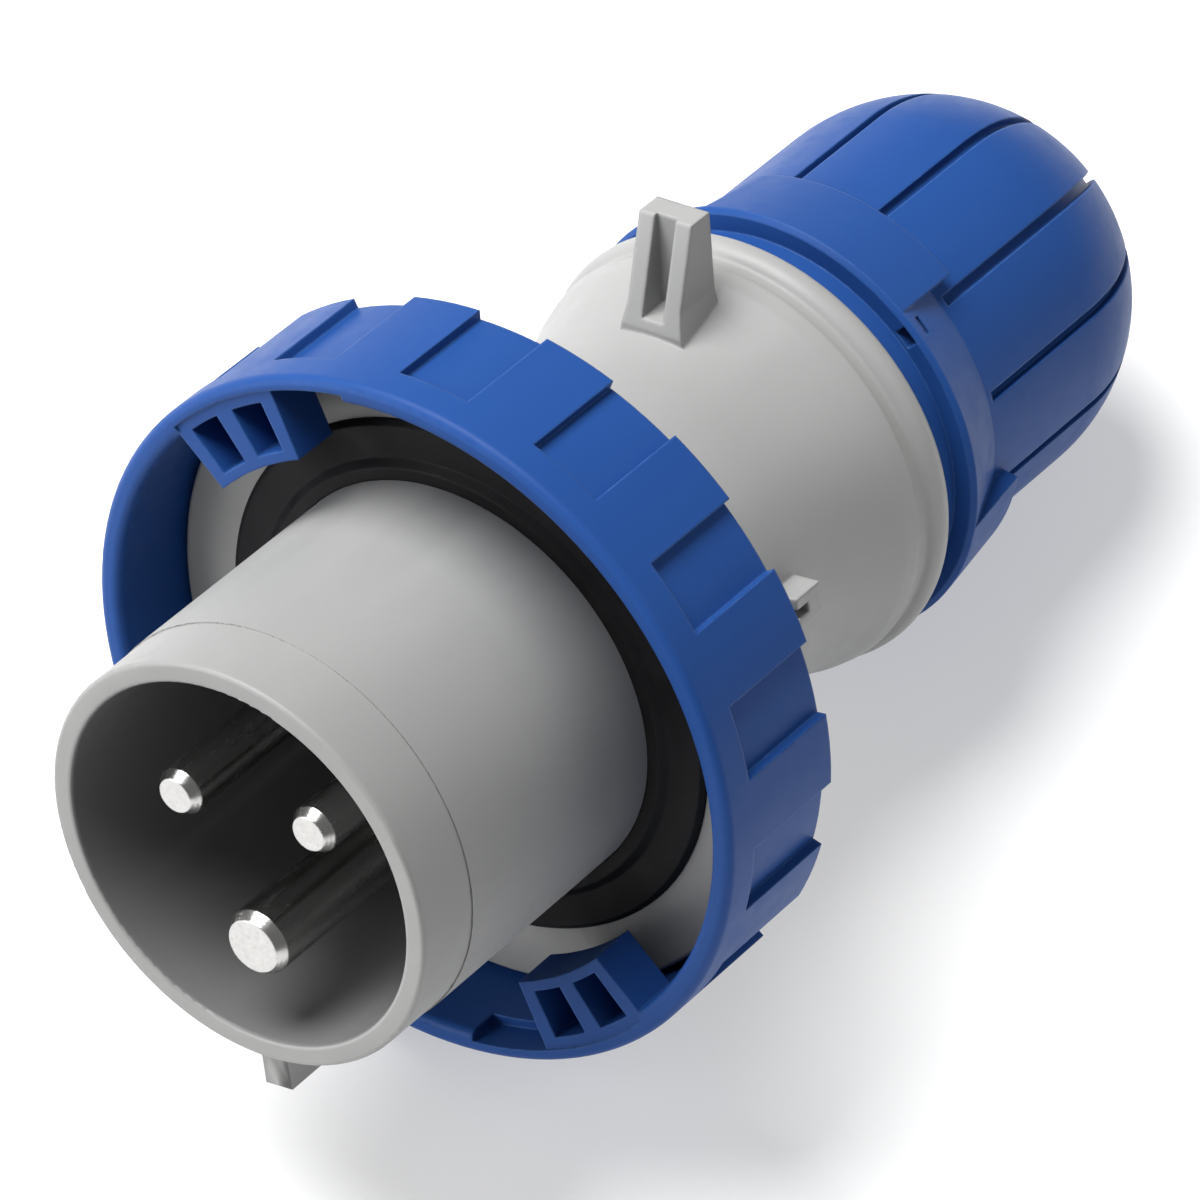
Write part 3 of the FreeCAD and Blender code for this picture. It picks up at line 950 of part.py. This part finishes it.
repeat_round(clamp_cage, finger_gap, "finger_gaps", "finger_count")

# Thrust washer: slide ring between the cage and the step in the nut's cavity
thrust_washer = new_body("thrust_washer")
washer_sketch = sketch_on(thrust_washer, "washer_outline", "XY_Plane")
outline(washer_sketch, [
    at("washer_front_x", "washer_inner"), at("washer_front_x", "cage_base_radius"),
    at("washer_back_x", "cage_base_radius"), at("washer_back_x", "washer_inner")])
revolve(thrust_washer, washer_sketch, "washer_turned")

doc.recompute()


# Own places of the pieces that are drawn about another axis than the plug's
def turned(angle, outward=0.0):
    turn = FreeCAD.Rotation(FreeCAD.Vector(1, 0, 0), angle)
    return FreeCAD.Placement(turn.multVec(FreeCAD.Vector(0, outward, 0)), turn)


own_places = {}
for pole, pin, clamp in (("line", line_pin, line_clamp), ("neutral", neutral_pin, neutral_clamp),
                         ("earth", earth_pin, earth_clamp)):
    own_places[pin.Label] = turned(PIN_ANGLES[pole], size("pin_circle"))
    own_places[clamp.Label] = turned(PIN_ANGLES[pole])
own_places["body_seal"] = FreeCAD.Placement(
    FreeCAD.Vector(size("seal_ring_x"), 0, 0), FreeCAD.Rotation(FreeCAD.Vector(0, 1, 0), 90))

# Lying down: the nose rises until the line from the back edge of the two grip panels under the
# plug touches the dome of the nut, and the whole is lifted on to the table
heel = size("ring_outer") * math.cos(math.radians(size("panel_half_angle")))
dome_centre = size("dome_radius") - size("dome_bend")
reach = size("dome_x") - size("ring_back_x")
drop = heel - dome_centre
tilt = math.degrees(math.atan2(drop, reach) - math.asin(size("dome_bend") / math.hypot(drop, reach)))
lying = FreeCAD.Rotation(FreeCAD.Vector(0, 1, 0), tilt)

parts = [sleeve_body, face_gasket, line_pin, neutral_pin, earth_pin, pin_carrier, terminal_housing,
         line_clamp, neutral_clamp, earth_clamp, wire_plates, terminal_screws, insert_screws,
         locking_ring, body_seal, rear_body, gland_nut, gland_seal, clamp_cage, thrust_washer]
laid = []
for part in parts:
    part.Placement = FreeCAD.Placement(FreeCAD.Vector(), lying) * own_places.get(
        part.Label, FreeCAD.Placement())
    laid.append(part.Shape)
extent = Part.makeCompound(laid).optimalBoundingBox(False, False)
origin_shift = FreeCAD.Vector(-(extent.XMin + extent.XMax) / 2, -(extent.YMin + extent.YMax) / 2,
                              -extent.ZMin)
for part in parts:
    place = part.Placement
    place.Base = place.Base + origin_shift
    part.Placement = place
doc.recompute()
print("tilt", round(tilt, 3), "degrees, shift", origin_shift)

# Check of every object before anything is written
for item in doc.Objects:
    if "Invalid" in item.State or "Error" in item.State:
        raise RuntimeError(f"{item.Name} is {item.State}")
for part in parts:
    if part.Shape.isNull() or not part.Shape.isValid():
        raise RuntimeError(f"{part.Label} has no valid shape")

os.makedirs("parts", exist_ok=True)
for part in parts:
    part.Shape.exportStep(f"parts/{part.Label}.step")
    print(part.Label, "solids", len(part.Shape.Solids), "volume", round(part.Shape.Volume))
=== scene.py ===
# %% [markdown]
# # Dressing an industrial pin and sleeve plug
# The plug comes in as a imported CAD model: twenty named pieces that already have their real size
# and place. Everything here is in metres and in the same frame, so nothing has to be fitted by
# eye. What Blender adds is the finish: moulded plastic with its fine skin, soft moulded edges,
# dull rubber, bright plated pins, and the studio that shows them.

# %% Load the plug
import math
import bpy
from mathutils import Matrix, Vector


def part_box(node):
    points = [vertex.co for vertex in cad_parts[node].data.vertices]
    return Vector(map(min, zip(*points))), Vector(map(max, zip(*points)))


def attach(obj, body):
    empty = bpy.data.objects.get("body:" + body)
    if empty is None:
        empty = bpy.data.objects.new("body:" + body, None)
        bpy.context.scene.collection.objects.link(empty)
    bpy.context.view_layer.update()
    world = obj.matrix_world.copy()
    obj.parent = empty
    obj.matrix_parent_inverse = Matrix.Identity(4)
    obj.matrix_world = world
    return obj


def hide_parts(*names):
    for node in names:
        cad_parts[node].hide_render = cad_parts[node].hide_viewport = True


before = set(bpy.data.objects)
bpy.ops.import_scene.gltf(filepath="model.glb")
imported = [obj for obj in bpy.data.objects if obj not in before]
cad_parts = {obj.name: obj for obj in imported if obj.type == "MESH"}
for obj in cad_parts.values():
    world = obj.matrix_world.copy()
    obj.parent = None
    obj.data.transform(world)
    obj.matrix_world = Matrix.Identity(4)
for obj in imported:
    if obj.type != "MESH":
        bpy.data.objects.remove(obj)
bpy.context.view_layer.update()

bpy.ops.object.select_all(action="DESELECT")
print("nodes loaded:", len(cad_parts))

# %% [markdown]
# ## Where the plug's axis runs
# The plug lies on its side, so its long axis is not one of the world's axes. It leans down
# towards the gland nut by one angle, about the world's Y axis. Finishes that follow a turned or
# moulded part have to know that lean. A turned pin is long and round, so the direction in which
# its vertices are spread most is its axis, and that gives the lean. The washer is a plain ring, so
# the middle of its box is a point on the axis, and the sleeve's foremost vertex gives the place of
# the mouth.

# %% Measure the lean
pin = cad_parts["line_pin"]
pin_points = [pin.matrix_world @ vertex.co for vertex in pin.data.vertices]
mean_x = sum(point.x for point in pin_points) / len(pin_points)
mean_z = sum(point.z for point in pin_points) / len(pin_points)
spread_x = sum((point.x - mean_x) ** 2 for point in pin_points)
spread_z = sum((point.z - mean_z) ** 2 for point in pin_points)
spread_both = sum((point.x - mean_x) * (point.z - mean_z) for point in pin_points)
AXIS_TILT = -0.5 * math.atan2(2.0 * spread_both, spread_x - spread_z)
AXIS_BACK = Vector((math.cos(AXIS_TILT), 0.0, -math.sin(AXIS_TILT)))

washer_low, washer_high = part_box("thrust_washer")
AXIS_POINT = (washer_low + washer_high) / 2
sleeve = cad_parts["sleeve_body"]
sleeve_points = [sleeve.matrix_world @ vertex.co for vertex in sleeve.data.vertices]
MOUTH_X = min((point - AXIS_POINT).dot(AXIS_BACK) for point in sleeve_points)
print("the axis leans by", round(math.degrees(AXIS_TILT), 2), "degrees")
print("the mouth is", round(-1000 * MOUTH_X, 1), "mm in front of the washer")

# %% [markdown]
# ## A small kit for node materials
# A material is a little graph. Most plastics differ only in their numbers, so the graph's parts
# are made by helpers: one starts a material, one gives coordinates in metres that stay with the
# piece, one turns them to the plug's axis and can stretch a pattern along it, one adds noise, one
# turns noise into a range, one blends two colours by it and one turns it into fine relief. Writing
# them once keeps every finish short enough to read.


# %% Material helpers
def start_material(name, colour, roughness, metallic=0.0):
    material = bpy.data.materials.new(name)
    material.use_nodes = True
    nodes, links = material.node_tree.nodes, material.node_tree.links
    shader = nodes["Principled BSDF"]
    shader.inputs["Base Color"].default_value = (*colour, 1.0)
    shader.inputs["Roughness"].default_value = roughness
    shader.inputs["Metallic"].default_value = metallic
    return material, nodes, links, shader


def metre_coordinates(nodes):
    return nodes.new("ShaderNodeTexCoord").outputs["Object"]


def plug_coordinates(nodes, links, stretch=1.0):
    mapping = nodes.new("ShaderNodeMapping")
    mapping.vector_type = "TEXTURE"
    mapping.inputs["Location"].default_value = AXIS_POINT
    mapping.inputs["Rotation"].default_value = (0.0, AXIS_TILT, 0.0)
    mapping.inputs["Scale"].default_value = (stretch, 1.0, 1.0)
    links.new(metre_coordinates(nodes), mapping.inputs["Vector"])
    return mapping.outputs["Vector"]


def noise(nodes, links, vector, per_metre, detail, rough=0.5):
    texture = nodes.new("ShaderNodeTexNoise")
    texture.inputs["Scale"].default_value = per_metre
    texture.inputs["Detail"].default_value = detail
    texture.inputs["Roughness"].default_value = rough
    links.new(vector, texture.inputs["Vector"])
    return texture.outputs["Fac"]


def into_range(nodes, links, value, low, high, start=0.3, end=0.7):
    span = nodes.new("ShaderNodeMapRange")
    span.inputs["From Min"].default_value = start
    span.inputs["From Max"].default_value = end
    span.inputs["To Min"].default_value = low
    span.inputs["To Max"].default_value = high
    links.new(value, span.inputs["Value"])
    return span.outputs["Result"]


def blend_colours(nodes, links, factor, first, second):
    mix = nodes.new("ShaderNodeMix")
    mix.data_type = "RGBA"
    mix.inputs["A"].default_value = (*first, 1.0)
    mix.inputs["B"].default_value = (*second, 1.0)
    links.new(factor, mix.inputs["Factor"])
    return mix.outputs["Result"]


def blend_over(nodes, links, factor, under, colour):
    mix = nodes.new("ShaderNodeMix")
    mix.data_type = "RGBA"
    mix.inputs["B"].default_value = (*colour, 1.0)
    links.new(under, mix.inputs["A"])
    links.new(factor, mix.inputs["Factor"])
    return mix.outputs["Result"]


def multiply(nodes, links, first, second):
    product = nodes.new("ShaderNodeMath")
    product.operation = "MULTIPLY"
    links.new(first, product.inputs[0])
    links.new(second, product.inputs[1])
    return product.outputs["Value"]


def bump(nodes, links, height, depth, under):
    relief = nodes.new("ShaderNodeBump")
    relief.inputs["Strength"].default_value = 1.0
    relief.inputs["Distance"].default_value = depth
    links.new(height, relief.inputs["Height"])
    links.new(under, relief.inputs["Normal"])
    return relief.outputs["Normal"]


# %% [markdown]
# ## Soft edges
# No moulded edge is perfectly sharp: a tool mark of a few tenths of a millimetre catches the
# light as a thin bright line. A Bevel node blurs the normal near edges, and comparing that
# blurred normal with the true one finds the edges themselves, where a lighter colour is laid on
# as a painted highlight. The two limits are cosines: below the first the normal is turned far
# enough to count as an edge, above the second it counts as flat.

# %% Edge helpers
BEVEL_SAMPLES = 6
EDGE_COSINE, FLAT_COSINE = 0.86, 0.985


def soft_edge_normal(nodes, radius):
    bevel = nodes.new("ShaderNodeBevel")
    bevel.samples = BEVEL_SAMPLES
    bevel.inputs["Radius"].default_value = radius
    return bevel.outputs["Normal"]


def edge_mask(nodes, links, edge_normal):
    geometry = nodes.new("ShaderNodeNewGeometry")
    dot = nodes.new("ShaderNodeVectorMath")
    dot.operation = "DOT_PRODUCT"
    links.new(edge_normal, dot.inputs[0])
    links.new(geometry.outputs["Normal"], dot.inputs[1])
    return into_range(nodes, links, dot.outputs["Value"], 1.0, 0.0, EDGE_COSINE, FLAT_COSINE)


# %% [markdown]
# ## Moulded plastic
# Body and ring are glass-filled polyamide straight from the mould. Close up it has a fine satin
# skin, slow differences in shade where the melt flowed and cooled, and a slightly glossier patch
# here and there. One function makes the family: the grey, the blue and the dark insert plastic
# differ in colour, gloss and the colour of the painted highlight on their edges. The shade follows
# noise that is stretched along the plug, as the melt ran, and the skin is a relief of a hundredth
# of a millimetre.

# %% Plastic family
FLOW_PER_METRE, FLOW_STRETCH = 60, 2.5
BREAKUP_PER_METRE, LEAST_BREAKUP = 900, 0.15
GLOSS_PER_METRE, GLOSSIER, DULLER = 350, 0.04, 0.06
SKIN_PER_METRE, SKIN_DEPTH = 4200, 0.000012


def moulded_plastic(name, colour, shade, edge_highlight, roughness, gleam=0.28, edge=0.00035):
    material, nodes, links, shader = start_material(name, colour, roughness)
    shader.inputs["Specular IOR Level"].default_value = gleam
    place = metre_coordinates(nodes)
    flow_place = plug_coordinates(nodes, links, FLOW_STRETCH)
    flow = noise(nodes, links, flow_place, FLOW_PER_METRE, detail=4.0, rough=0.55)
    tint = blend_colours(nodes, links, into_range(nodes, links, flow, 0.0, 1.0), colour, shade)
    edge_normal = soft_edge_normal(nodes, edge)
    highlight_breakup = noise(nodes, links, place, BREAKUP_PER_METRE, detail=4.0, rough=0.65)
    # Painted highlight: the edges are blended towards a lighter colour, broken up by noise.
    painted_highlight_mask = multiply(nodes, links, edge_mask(nodes, links, edge_normal),
                   into_range(nodes, links, highlight_breakup, LEAST_BREAKUP, 1.0))
    links.new(blend_over(nodes, links, painted_highlight_mask, tint, edge_highlight), shader.inputs["Base Color"])
    gloss = noise(nodes, links, place, GLOSS_PER_METRE, detail=5.0, rough=0.6)
    links.new(into_range(nodes, links, gloss, roughness - GLOSSIER, roughness + DULLER),
              shader.inputs["Roughness"])
    skin = noise(nodes, links, place, SKIN_PER_METRE, detail=2.0)
    links.new(bump(nodes, links, skin, SKIN_DEPTH, edge_normal), shader.inputs["Normal"])
    return material


# %% [markdown]
# ## Painted shade inside the sleeve
# Looking into the sleeve one sees a much darker grey than outside, down to the floor that holds
# the pins. That darkness is shade in a deep recess, painted into the colour. The sleeve is one
# moulding, so the painted shade is a second colour in the same material: distance from the plug's
# axis tells the inner wall from the outer one, and the place along the axis ends the painted shade
# where the wall meets the floor.

# %% Painted shade inside the sleeve
SHADE_RADIUS = 0.0197
SHADE_END_X = MOUTH_X + 0.0375
SHADE_FADE = 0.0001
PAINTED_SHADE_COLOUR = (0.13, 0.13, 0.13)


def up_to(nodes, links, value, limit):
    return into_range(nodes, links, value, 1.0, 0.0, limit, limit + SHADE_FADE)


def paint_inside_shade(material):
    nodes, links = material.node_tree.nodes, material.node_tree.links
    base_colour = nodes["Principled BSDF"].inputs["Base Color"]
    place = nodes.new("ShaderNodeSeparateXYZ")
    links.new(plug_coordinates(nodes, links), place.inputs["Vector"])
    across = nodes.new("ShaderNodeCombineXYZ")
    links.new(place.outputs["Y"], across.inputs["Y"])
    links.new(place.outputs["Z"], across.inputs["Z"])
    radius = nodes.new("ShaderNodeVectorMath")
    radius.operation = "LENGTH"
    links.new(across.outputs["Vector"], radius.inputs[0])
    within_wall = up_to(nodes, links, radius.outputs["Value"], SHADE_RADIUS)
    before_floor = up_to(nodes, links, place.outputs["X"], SHADE_END_X)
    # Painted shade: inside the wall and in front of the floor, the colour goes to a dark grey.
    inside = multiply(nodes, links, within_wall, before_floor)
    outside_colour = base_colour.links[0].from_socket
    links.new(blend_over(nodes, links, inside, outside_colour, PAINTED_SHADE_COLOUR), base_colour)


# %% [markdown]
# ## The six plastics
# Grey for body and sleeve, blue for the two parts a hand turns, near black for the insert, a paler
# grey for the cage and a waxy white for the slide washer. Each takes its base colour, the shade it
# drifts to, the colour of the painted highlight on its edges and a roughness. The body's edges are
# rounder than the others, and the blue gleams less than the greys.

# %% Mix the plastics
grey_plastic = moulded_plastic(
    "grey_moulded_plastic", colour=(0.29, 0.29, 0.287), shade=(0.27, 0.27, 0.267),
    edge_highlight=(0.35, 0.35, 0.345), roughness=0.42, edge=0.0006)
blue_plastic = moulded_plastic(
    "blue_moulded_plastic", colour=(0.0145, 0.058, 0.220), shade=(0.013, 0.053, 0.205),
    edge_highlight=(0.042, 0.11, 0.31), roughness=0.42, gleam=0.1)
dark_plastic = moulded_plastic(
    "dark_insert_plastic", colour=(0.05, 0.05, 0.052), shade=(0.042, 0.042, 0.044),
    edge_highlight=(0.08, 0.08, 0.08), roughness=0.5)
cage_plastic = moulded_plastic(
    "pale_cage_plastic", colour=(0.3, 0.3, 0.29), shade=(0.28, 0.28, 0.27),
    edge_highlight=(0.36, 0.36, 0.35), roughness=0.5)
sleeve_plastic = moulded_plastic(
    "grey_sleeve_plastic", colour=(0.255, 0.255, 0.252), shade=(0.235, 0.235, 0.232),
    edge_highlight=(0.32, 0.32, 0.315), roughness=0.42)
# The sleeve's inside gets its painted shade.
paint_inside_shade(sleeve_plastic)
washer_plastic = moulded_plastic(
    "slide_washer_plastic", colour=(0.8, 0.79, 0.75), shade=(0.77, 0.76, 0.72),
    edge_highlight=(0.84, 0.83, 0.8), roughness=0.25)
plastics = [grey_plastic, blue_plastic, dark_plastic, cage_plastic, sleeve_plastic, washer_plastic]
print("plastics:", [plastic.name for plastic in plastics])

# %% [markdown]
# ## Rubber
# The face gasket and the seals are black moulded rubber. Rubber scatters light in a wide dull
# highlight and takes a little pale dust in its pores, so the noise drives roughness strongly and
# colour only a little.

# %% Rubber
BLOOM_PER_METRE = 220
DUST_START, DUST_END = 0.4, 0.75
PORES_PER_METRE, PORE_DEPTH = 3000, 0.00002
RUBBER_EDGE = 0.0003


def seal_rubber():
    material, nodes, links, shader = start_material("black_seal_rubber", (0.007, 0.007, 0.008), 0.6)
    shader.inputs["Specular IOR Level"].default_value = 0.15
    place = metre_coordinates(nodes)
    bloom = noise(nodes, links, place, BLOOM_PER_METRE, detail=5.0, rough=0.6)
    dust = into_range(nodes, links, bloom, 0.0, 1.0, DUST_START, DUST_END)
    tint = blend_colours(nodes, links, dust, (0.006, 0.006, 0.007), (0.014, 0.014, 0.015))
    links.new(tint, shader.inputs["Base Color"])
    links.new(into_range(nodes, links, bloom, 0.5, 0.72), shader.inputs["Roughness"])
    pores = noise(nodes, links, place, PORES_PER_METRE, detail=3.0, rough=0.6)
    edge_normal = soft_edge_normal(nodes, RUBBER_EDGE)
    links.new(bump(nodes, links, pores, PORE_DEPTH, edge_normal), shader.inputs["Normal"])
    return material


rubber = seal_rubber()
print("rubber:", rubber.name)

# %% [markdown]
# ## Plated metal
# The contact pins are turned brass with a bright nickel plate. A lathe leaves very fine rings
# round the part, so the bump follows bands across the plug's own axis, and the plate has faint
# wipe marks along it. Screws, clamps and plates are zinc-plated steel: greyer, rougher and with
# deeper marks.

# %% Plated metal
RING_WOBBLE = 0.6
WIPE_PER_METRE, WIPE_STRETCH = 1500, 7.0
SMOOTHER, ROUGHER = 0.8, 1.5
METAL_EDGE = 0.00025


def plated_metal(name, colour, shade, roughness, bands_per_metre, band_depth):
    material, nodes, links, shader = start_material(name, colour, roughness, metallic=1.0)
    rings = nodes.new("ShaderNodeTexWave")
    rings.wave_type = "BANDS"
    rings.bands_direction = "X"
    rings.inputs["Scale"].default_value = bands_per_metre
    rings.inputs["Distortion"].default_value = RING_WOBBLE
    links.new(plug_coordinates(nodes, links), rings.inputs["Vector"])
    wipe_place = plug_coordinates(nodes, links, WIPE_STRETCH)
    wipe = noise(nodes, links, wipe_place, WIPE_PER_METRE, detail=4.0, rough=0.6)
    tint = blend_colours(nodes, links, into_range(nodes, links, wipe, 0.0, 1.0), colour, shade)
    links.new(tint, shader.inputs["Base Color"])
    links.new(into_range(nodes, links, wipe, roughness * SMOOTHER, roughness * ROUGHER),
              shader.inputs["Roughness"])
    edge_normal = soft_edge_normal(nodes, METAL_EDGE)
    links.new(bump(nodes, links, rings.outputs["Fac"], band_depth, edge_normal),
              shader.inputs["Normal"])
    return material


nickel = plated_metal(
    "bright_nickel_plate", colour=(0.52, 0.515, 0.505), shade=(0.45, 0.445, 0.435),
    roughness=0.2, bands_per_metre=900, band_depth=0.000003)
zinc = plated_metal(
    "zinc_plated_steel", colour=(0.62, 0.63, 0.65), shade=(0.52, 0.53, 0.55),
    roughness=0.34, bands_per_metre=1400, band_depth=0.000005)
print("metals:", nickel.name, zinc.name)

# %% [markdown]
# ## Every node gets its finish
# A CAD node keeps its mesh. Only the material in its slot changes, so the table below is all it
# takes: each finish with the nodes that wear it.

# %% Assign finishes
FINISHES = {
    sleeve_plastic: ["sleeve_body"],
    grey_plastic: ["rear_body"],
    blue_plastic: ["locking_ring", "gland_nut"],
    rubber: ["face_gasket", "body_seal", "gland_seal"],
    nickel: ["line_pin", "neutral_pin", "earth_pin"],
    dark_plastic: ["pin_carrier", "terminal_housing"],
    zinc: ["line_clamp", "neutral_clamp", "earth_clamp",
           "wire_plates", "terminal_screws", "insert_screws"],
    cage_plastic: ["clamp_cage"],
    washer_plastic: ["thrust_washer"],
}
for finish, names in FINISHES.items():
    for name in names:
        for material_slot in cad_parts[name].material_slots:
            material_slot.material = finish
print("finished nodes:", sum(len(names) for names in FINISHES.values()))

# %% [markdown]
# ## A fuller sleeve mouth
# On the real plug the sleeve's wall is a little thicker than the solid's, and the key rib that
# steers it into a socket stands higher and starts nearer the rim. The rest of the solid can stay
# as it is, so a copy of its mesh is changed in those places only. The copy's loose triangles are
# merged, and it is laid with the plug's axis on world X, so that every later move is along or
# across one axis.

# %% Copy the sleeve on to the axis
FROM_AXIS = Matrix.Translation(AXIS_POINT) @ Matrix.Rotation(AXIS_TILT, 4, "Y")
MERGE_DISTANCE = 0.000002
shell = bpy.data.objects.new("sleeve_shell", sleeve.data.copy())
bpy.context.scene.collection.objects.link(shell)
bpy.context.view_layer.objects.active = shell
shell.select_set(True)
shell.matrix_world = FROM_AXIS.inverted()
bpy.ops.object.transform_apply(location=True, rotation=True, scale=True)
bpy.ops.object.mode_set(mode="EDIT")
bpy.ops.mesh.select_all(action="SELECT")
bpy.ops.mesh.remove_doubles(threshold=MERGE_DISTANCE)
bpy.ops.object.mode_set(mode="OBJECT")
print("merged vertices:", len(shell.data.vertices))

# %% [markdown]
# ## Selecting by place
# A helper picks every vertex whose distance from the axis and place behind the mouth lie in a
# range, then an ordinary transform operator moves them. Scaling only across the axis moves a round
# wall in or out without touching its length.


# %% Selecting helpers
def pick_vertices(piece, radius_range, x_range):
    bpy.ops.object.mode_set(mode="EDIT")
    bpy.ops.mesh.select_all(action="DESELECT")
    bpy.ops.object.mode_set(mode="OBJECT")
    picked = 0
    for vertex in piece.data.vertices:
        radius = math.hypot(vertex.co.y, vertex.co.z)
        behind_mouth = vertex.co.x - MOUTH_X
        in_radius = radius_range[0] < radius < radius_range[1]
        vertex.select = in_radius and x_range[0] < behind_mouth < x_range[1]
        picked += vertex.select
    bpy.ops.object.mode_set(mode="EDIT")
    return picked


def scale_across(factor):
    bpy.ops.transform.resize(value=(1.0, factor, factor), center_override=(0.0, 0.0, 0.0))
    bpy.ops.object.mode_set(mode="OBJECT")


# %% [markdown]
# ## The three moves
# The inner wall goes in, the rib's crest goes out, and the rib's front end slides towards the
# mouth. Each pair of radii and each length is just wide enough to hold the vertices it is meant
# for and no others.

# %% Thicken the wall and raise the rib
WALL_INNER, WALL_INNER_WANTED = 0.0203, 0.0196
WALL_RADII, WALL_LENGTH = (0.0202, 0.0210), (-0.001, 0.0381)
RIB_CREST, RIB_CREST_WANTED = 0.02385, 0.0253
RIB_CREST_RADII, RIB_LENGTH = (0.0236, 0.0240), (0.0, 0.036)
RIB_FRONT_RADII, RIB_FRONT = (0.0218, 0.0260), (0.0011, 0.0013)
RIB_FRONT_MOVE = -0.0006
bpy.context.tool_settings.mesh_select_mode = (True, False, False)
wall_picked = pick_vertices(shell, WALL_RADII, WALL_LENGTH)
scale_across(WALL_INNER_WANTED / WALL_INNER)
crest_picked = pick_vertices(shell, RIB_CREST_RADII, RIB_LENGTH)
scale_across(RIB_CREST_WANTED / RIB_CREST)
front_picked = pick_vertices(shell, RIB_FRONT_RADII, RIB_FRONT)
bpy.ops.transform.translate(value=(RIB_FRONT_MOVE, 0.0, 0.0))
bpy.ops.object.mode_set(mode="OBJECT")
print("moved vertices of wall, crest and front:", wall_picked, crest_picked, front_picked)

# %% [markdown]
# ## Back to its place
# The finished copy is turned back, so that its object sits at the origin like every CAD node. Its
# edges are shaded by their angle. Long thin triangles would pull the shading of a round wall
# askew, so the normals are also weighted by area. Then it takes over from the solid on the same
# body.

# %% Put the sleeve back
SHARP_ANGLE = math.radians(30.0)
shell.matrix_world = FROM_AXIS
bpy.ops.object.transform_apply(location=True, rotation=True, scale=True)
bpy.ops.object.shade_smooth_by_angle(angle=SHARP_ANGLE)
bpy.ops.object.modifier_add(type="WEIGHTED_NORMAL")
weighting = shell.modifiers[-1]
weighting.mode = "FACE_AREA_WITH_ANGLE"
weighting.keep_sharp = True
bpy.ops.object.modifier_apply(modifier=weighting.name)
shell.data.materials.clear()
shell.data.materials.append(sleeve_plastic)
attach(shell, "plug")
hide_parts("sleeve_body")
bpy.ops.object.select_all(action="DESELECT")
print("sleeve_shell stands for sleeve_body")

# %% [markdown]
# ## The camera
# A long lens from above and in front of the sleeve, rolled a few degrees. Place and turn come
# from fitting the round rims of sleeve, ring and nut to their outlines in the photograph.

# %% Camera
CAMERA_PLACE = Vector((-0.458092, -0.298473, 0.765195))
CAMERA_TURN = (36.164, -2.924, -52.550)
LENS_MM, SENSOR_MM = 279.66, 36.0
NEAREST, FARTHEST = 0.01, 20.0
camera_data = bpy.data.cameras.new("camera")
camera_data.lens = LENS_MM
camera_data.sensor_width = SENSOR_MM
camera_data.clip_start, camera_data.clip_end = NEAREST, FARTHEST
camera = bpy.data.objects.new("camera", camera_data)
bpy.context.scene.collection.objects.link(camera)
camera.location = CAMERA_PLACE
camera.rotation_euler = [math.radians(angle) for angle in CAMERA_TURN]
bpy.context.scene.camera = camera
bpy.context.view_layer.update()
print("camera distance:", round(CAMERA_PLACE.length, 3))

# %% [markdown]
# ## The floor
# The floor is a plain pale sheet that glows a little, as a lit table does, so it stays almost
# white under the plug.

# %% Floor
FLOOR_SIZE = 6.0
FLOOR_COLOUR, FLOOR_ROUGHNESS = (0.62, 0.62, 0.62), 0.7
FLOOR_PATCHES_PER_METRE = 8
FLOOR_GLOW = 0.38
WHITE = (1.0, 1.0, 1.0, 1.0)
bpy.ops.mesh.primitive_plane_add(size=FLOOR_SIZE, location=(0.0, 0.0, 0.0))
floor = bpy.context.object
floor.name = "floor"
floor_material, nodes, links, shader = start_material("pale_floor", FLOOR_COLOUR, FLOOR_ROUGHNESS)
patches = noise(nodes, links, metre_coordinates(nodes), FLOOR_PATCHES_PER_METRE, detail=2.0)
links.new(into_range(nodes, links, patches, 0.66, 0.74), shader.inputs["Roughness"])
shader.inputs["Emission Color"].default_value = WHITE
shader.inputs["Emission Strength"].default_value = FLOOR_GLOW
floor.data.materials.append(floor_material)
print("floor:", FLOOR_SIZE, "m wide")

# %% [markdown]
# ## The lights
# One wide soft light stands high on the left of the camera's view, so shadows fall to the lower
# right with a soft rim. A weaker one low on the left opens the shade under the sleeve's rim, a
# still weaker one on the right draws the far flank, and the pale world fills the rest. Lights are
# placed from the camera's own right, up and back directions, which is how a photographer thinks of
# them.

# %% Lights
AIM = Vector((0.0, 0.0, 0.03))
LIGHT_DISTANCE = 1.3
WORLD_STRENGTH = 0.22
camera_axes = Matrix.LocRotScale(None, camera.rotation_euler, None)


def soft_light(name, seen_from_camera, size, power):
    direction = (camera_axes @ Vector(seen_from_camera)).normalized()
    data = bpy.data.lights.new(name, "AREA")
    data.shape = "DISK"
    data.size = size
    data.energy = power
    lamp = bpy.data.objects.new(name, data)
    bpy.context.scene.collection.objects.link(lamp)
    lamp.location = AIM + direction * LIGHT_DISTANCE
    lamp.rotation_euler = direction.to_track_quat("Z", "Y").to_euler()
    print(name, "elevation", round(math.degrees(math.asin(direction.z))))


soft_light("key_light", (-0.35, 0.72, 0.60), size=0.95, power=34.0)
soft_light("fill_light", (-0.9, -0.05, 0.35), size=0.8, power=10.0)
soft_light("side_light", (0.75, 0.25, 0.6), size=0.8, power=2.4)

world = bpy.data.worlds.new("studio")
bpy.context.scene.world = world
world.use_nodes = True
background = world.node_tree.nodes["Background"]
background.inputs["Color"].default_value = WHITE
background.inputs["Strength"].default_value = WORLD_STRENGTH
bpy.context.scene.view_settings.view_transform = "Standard"
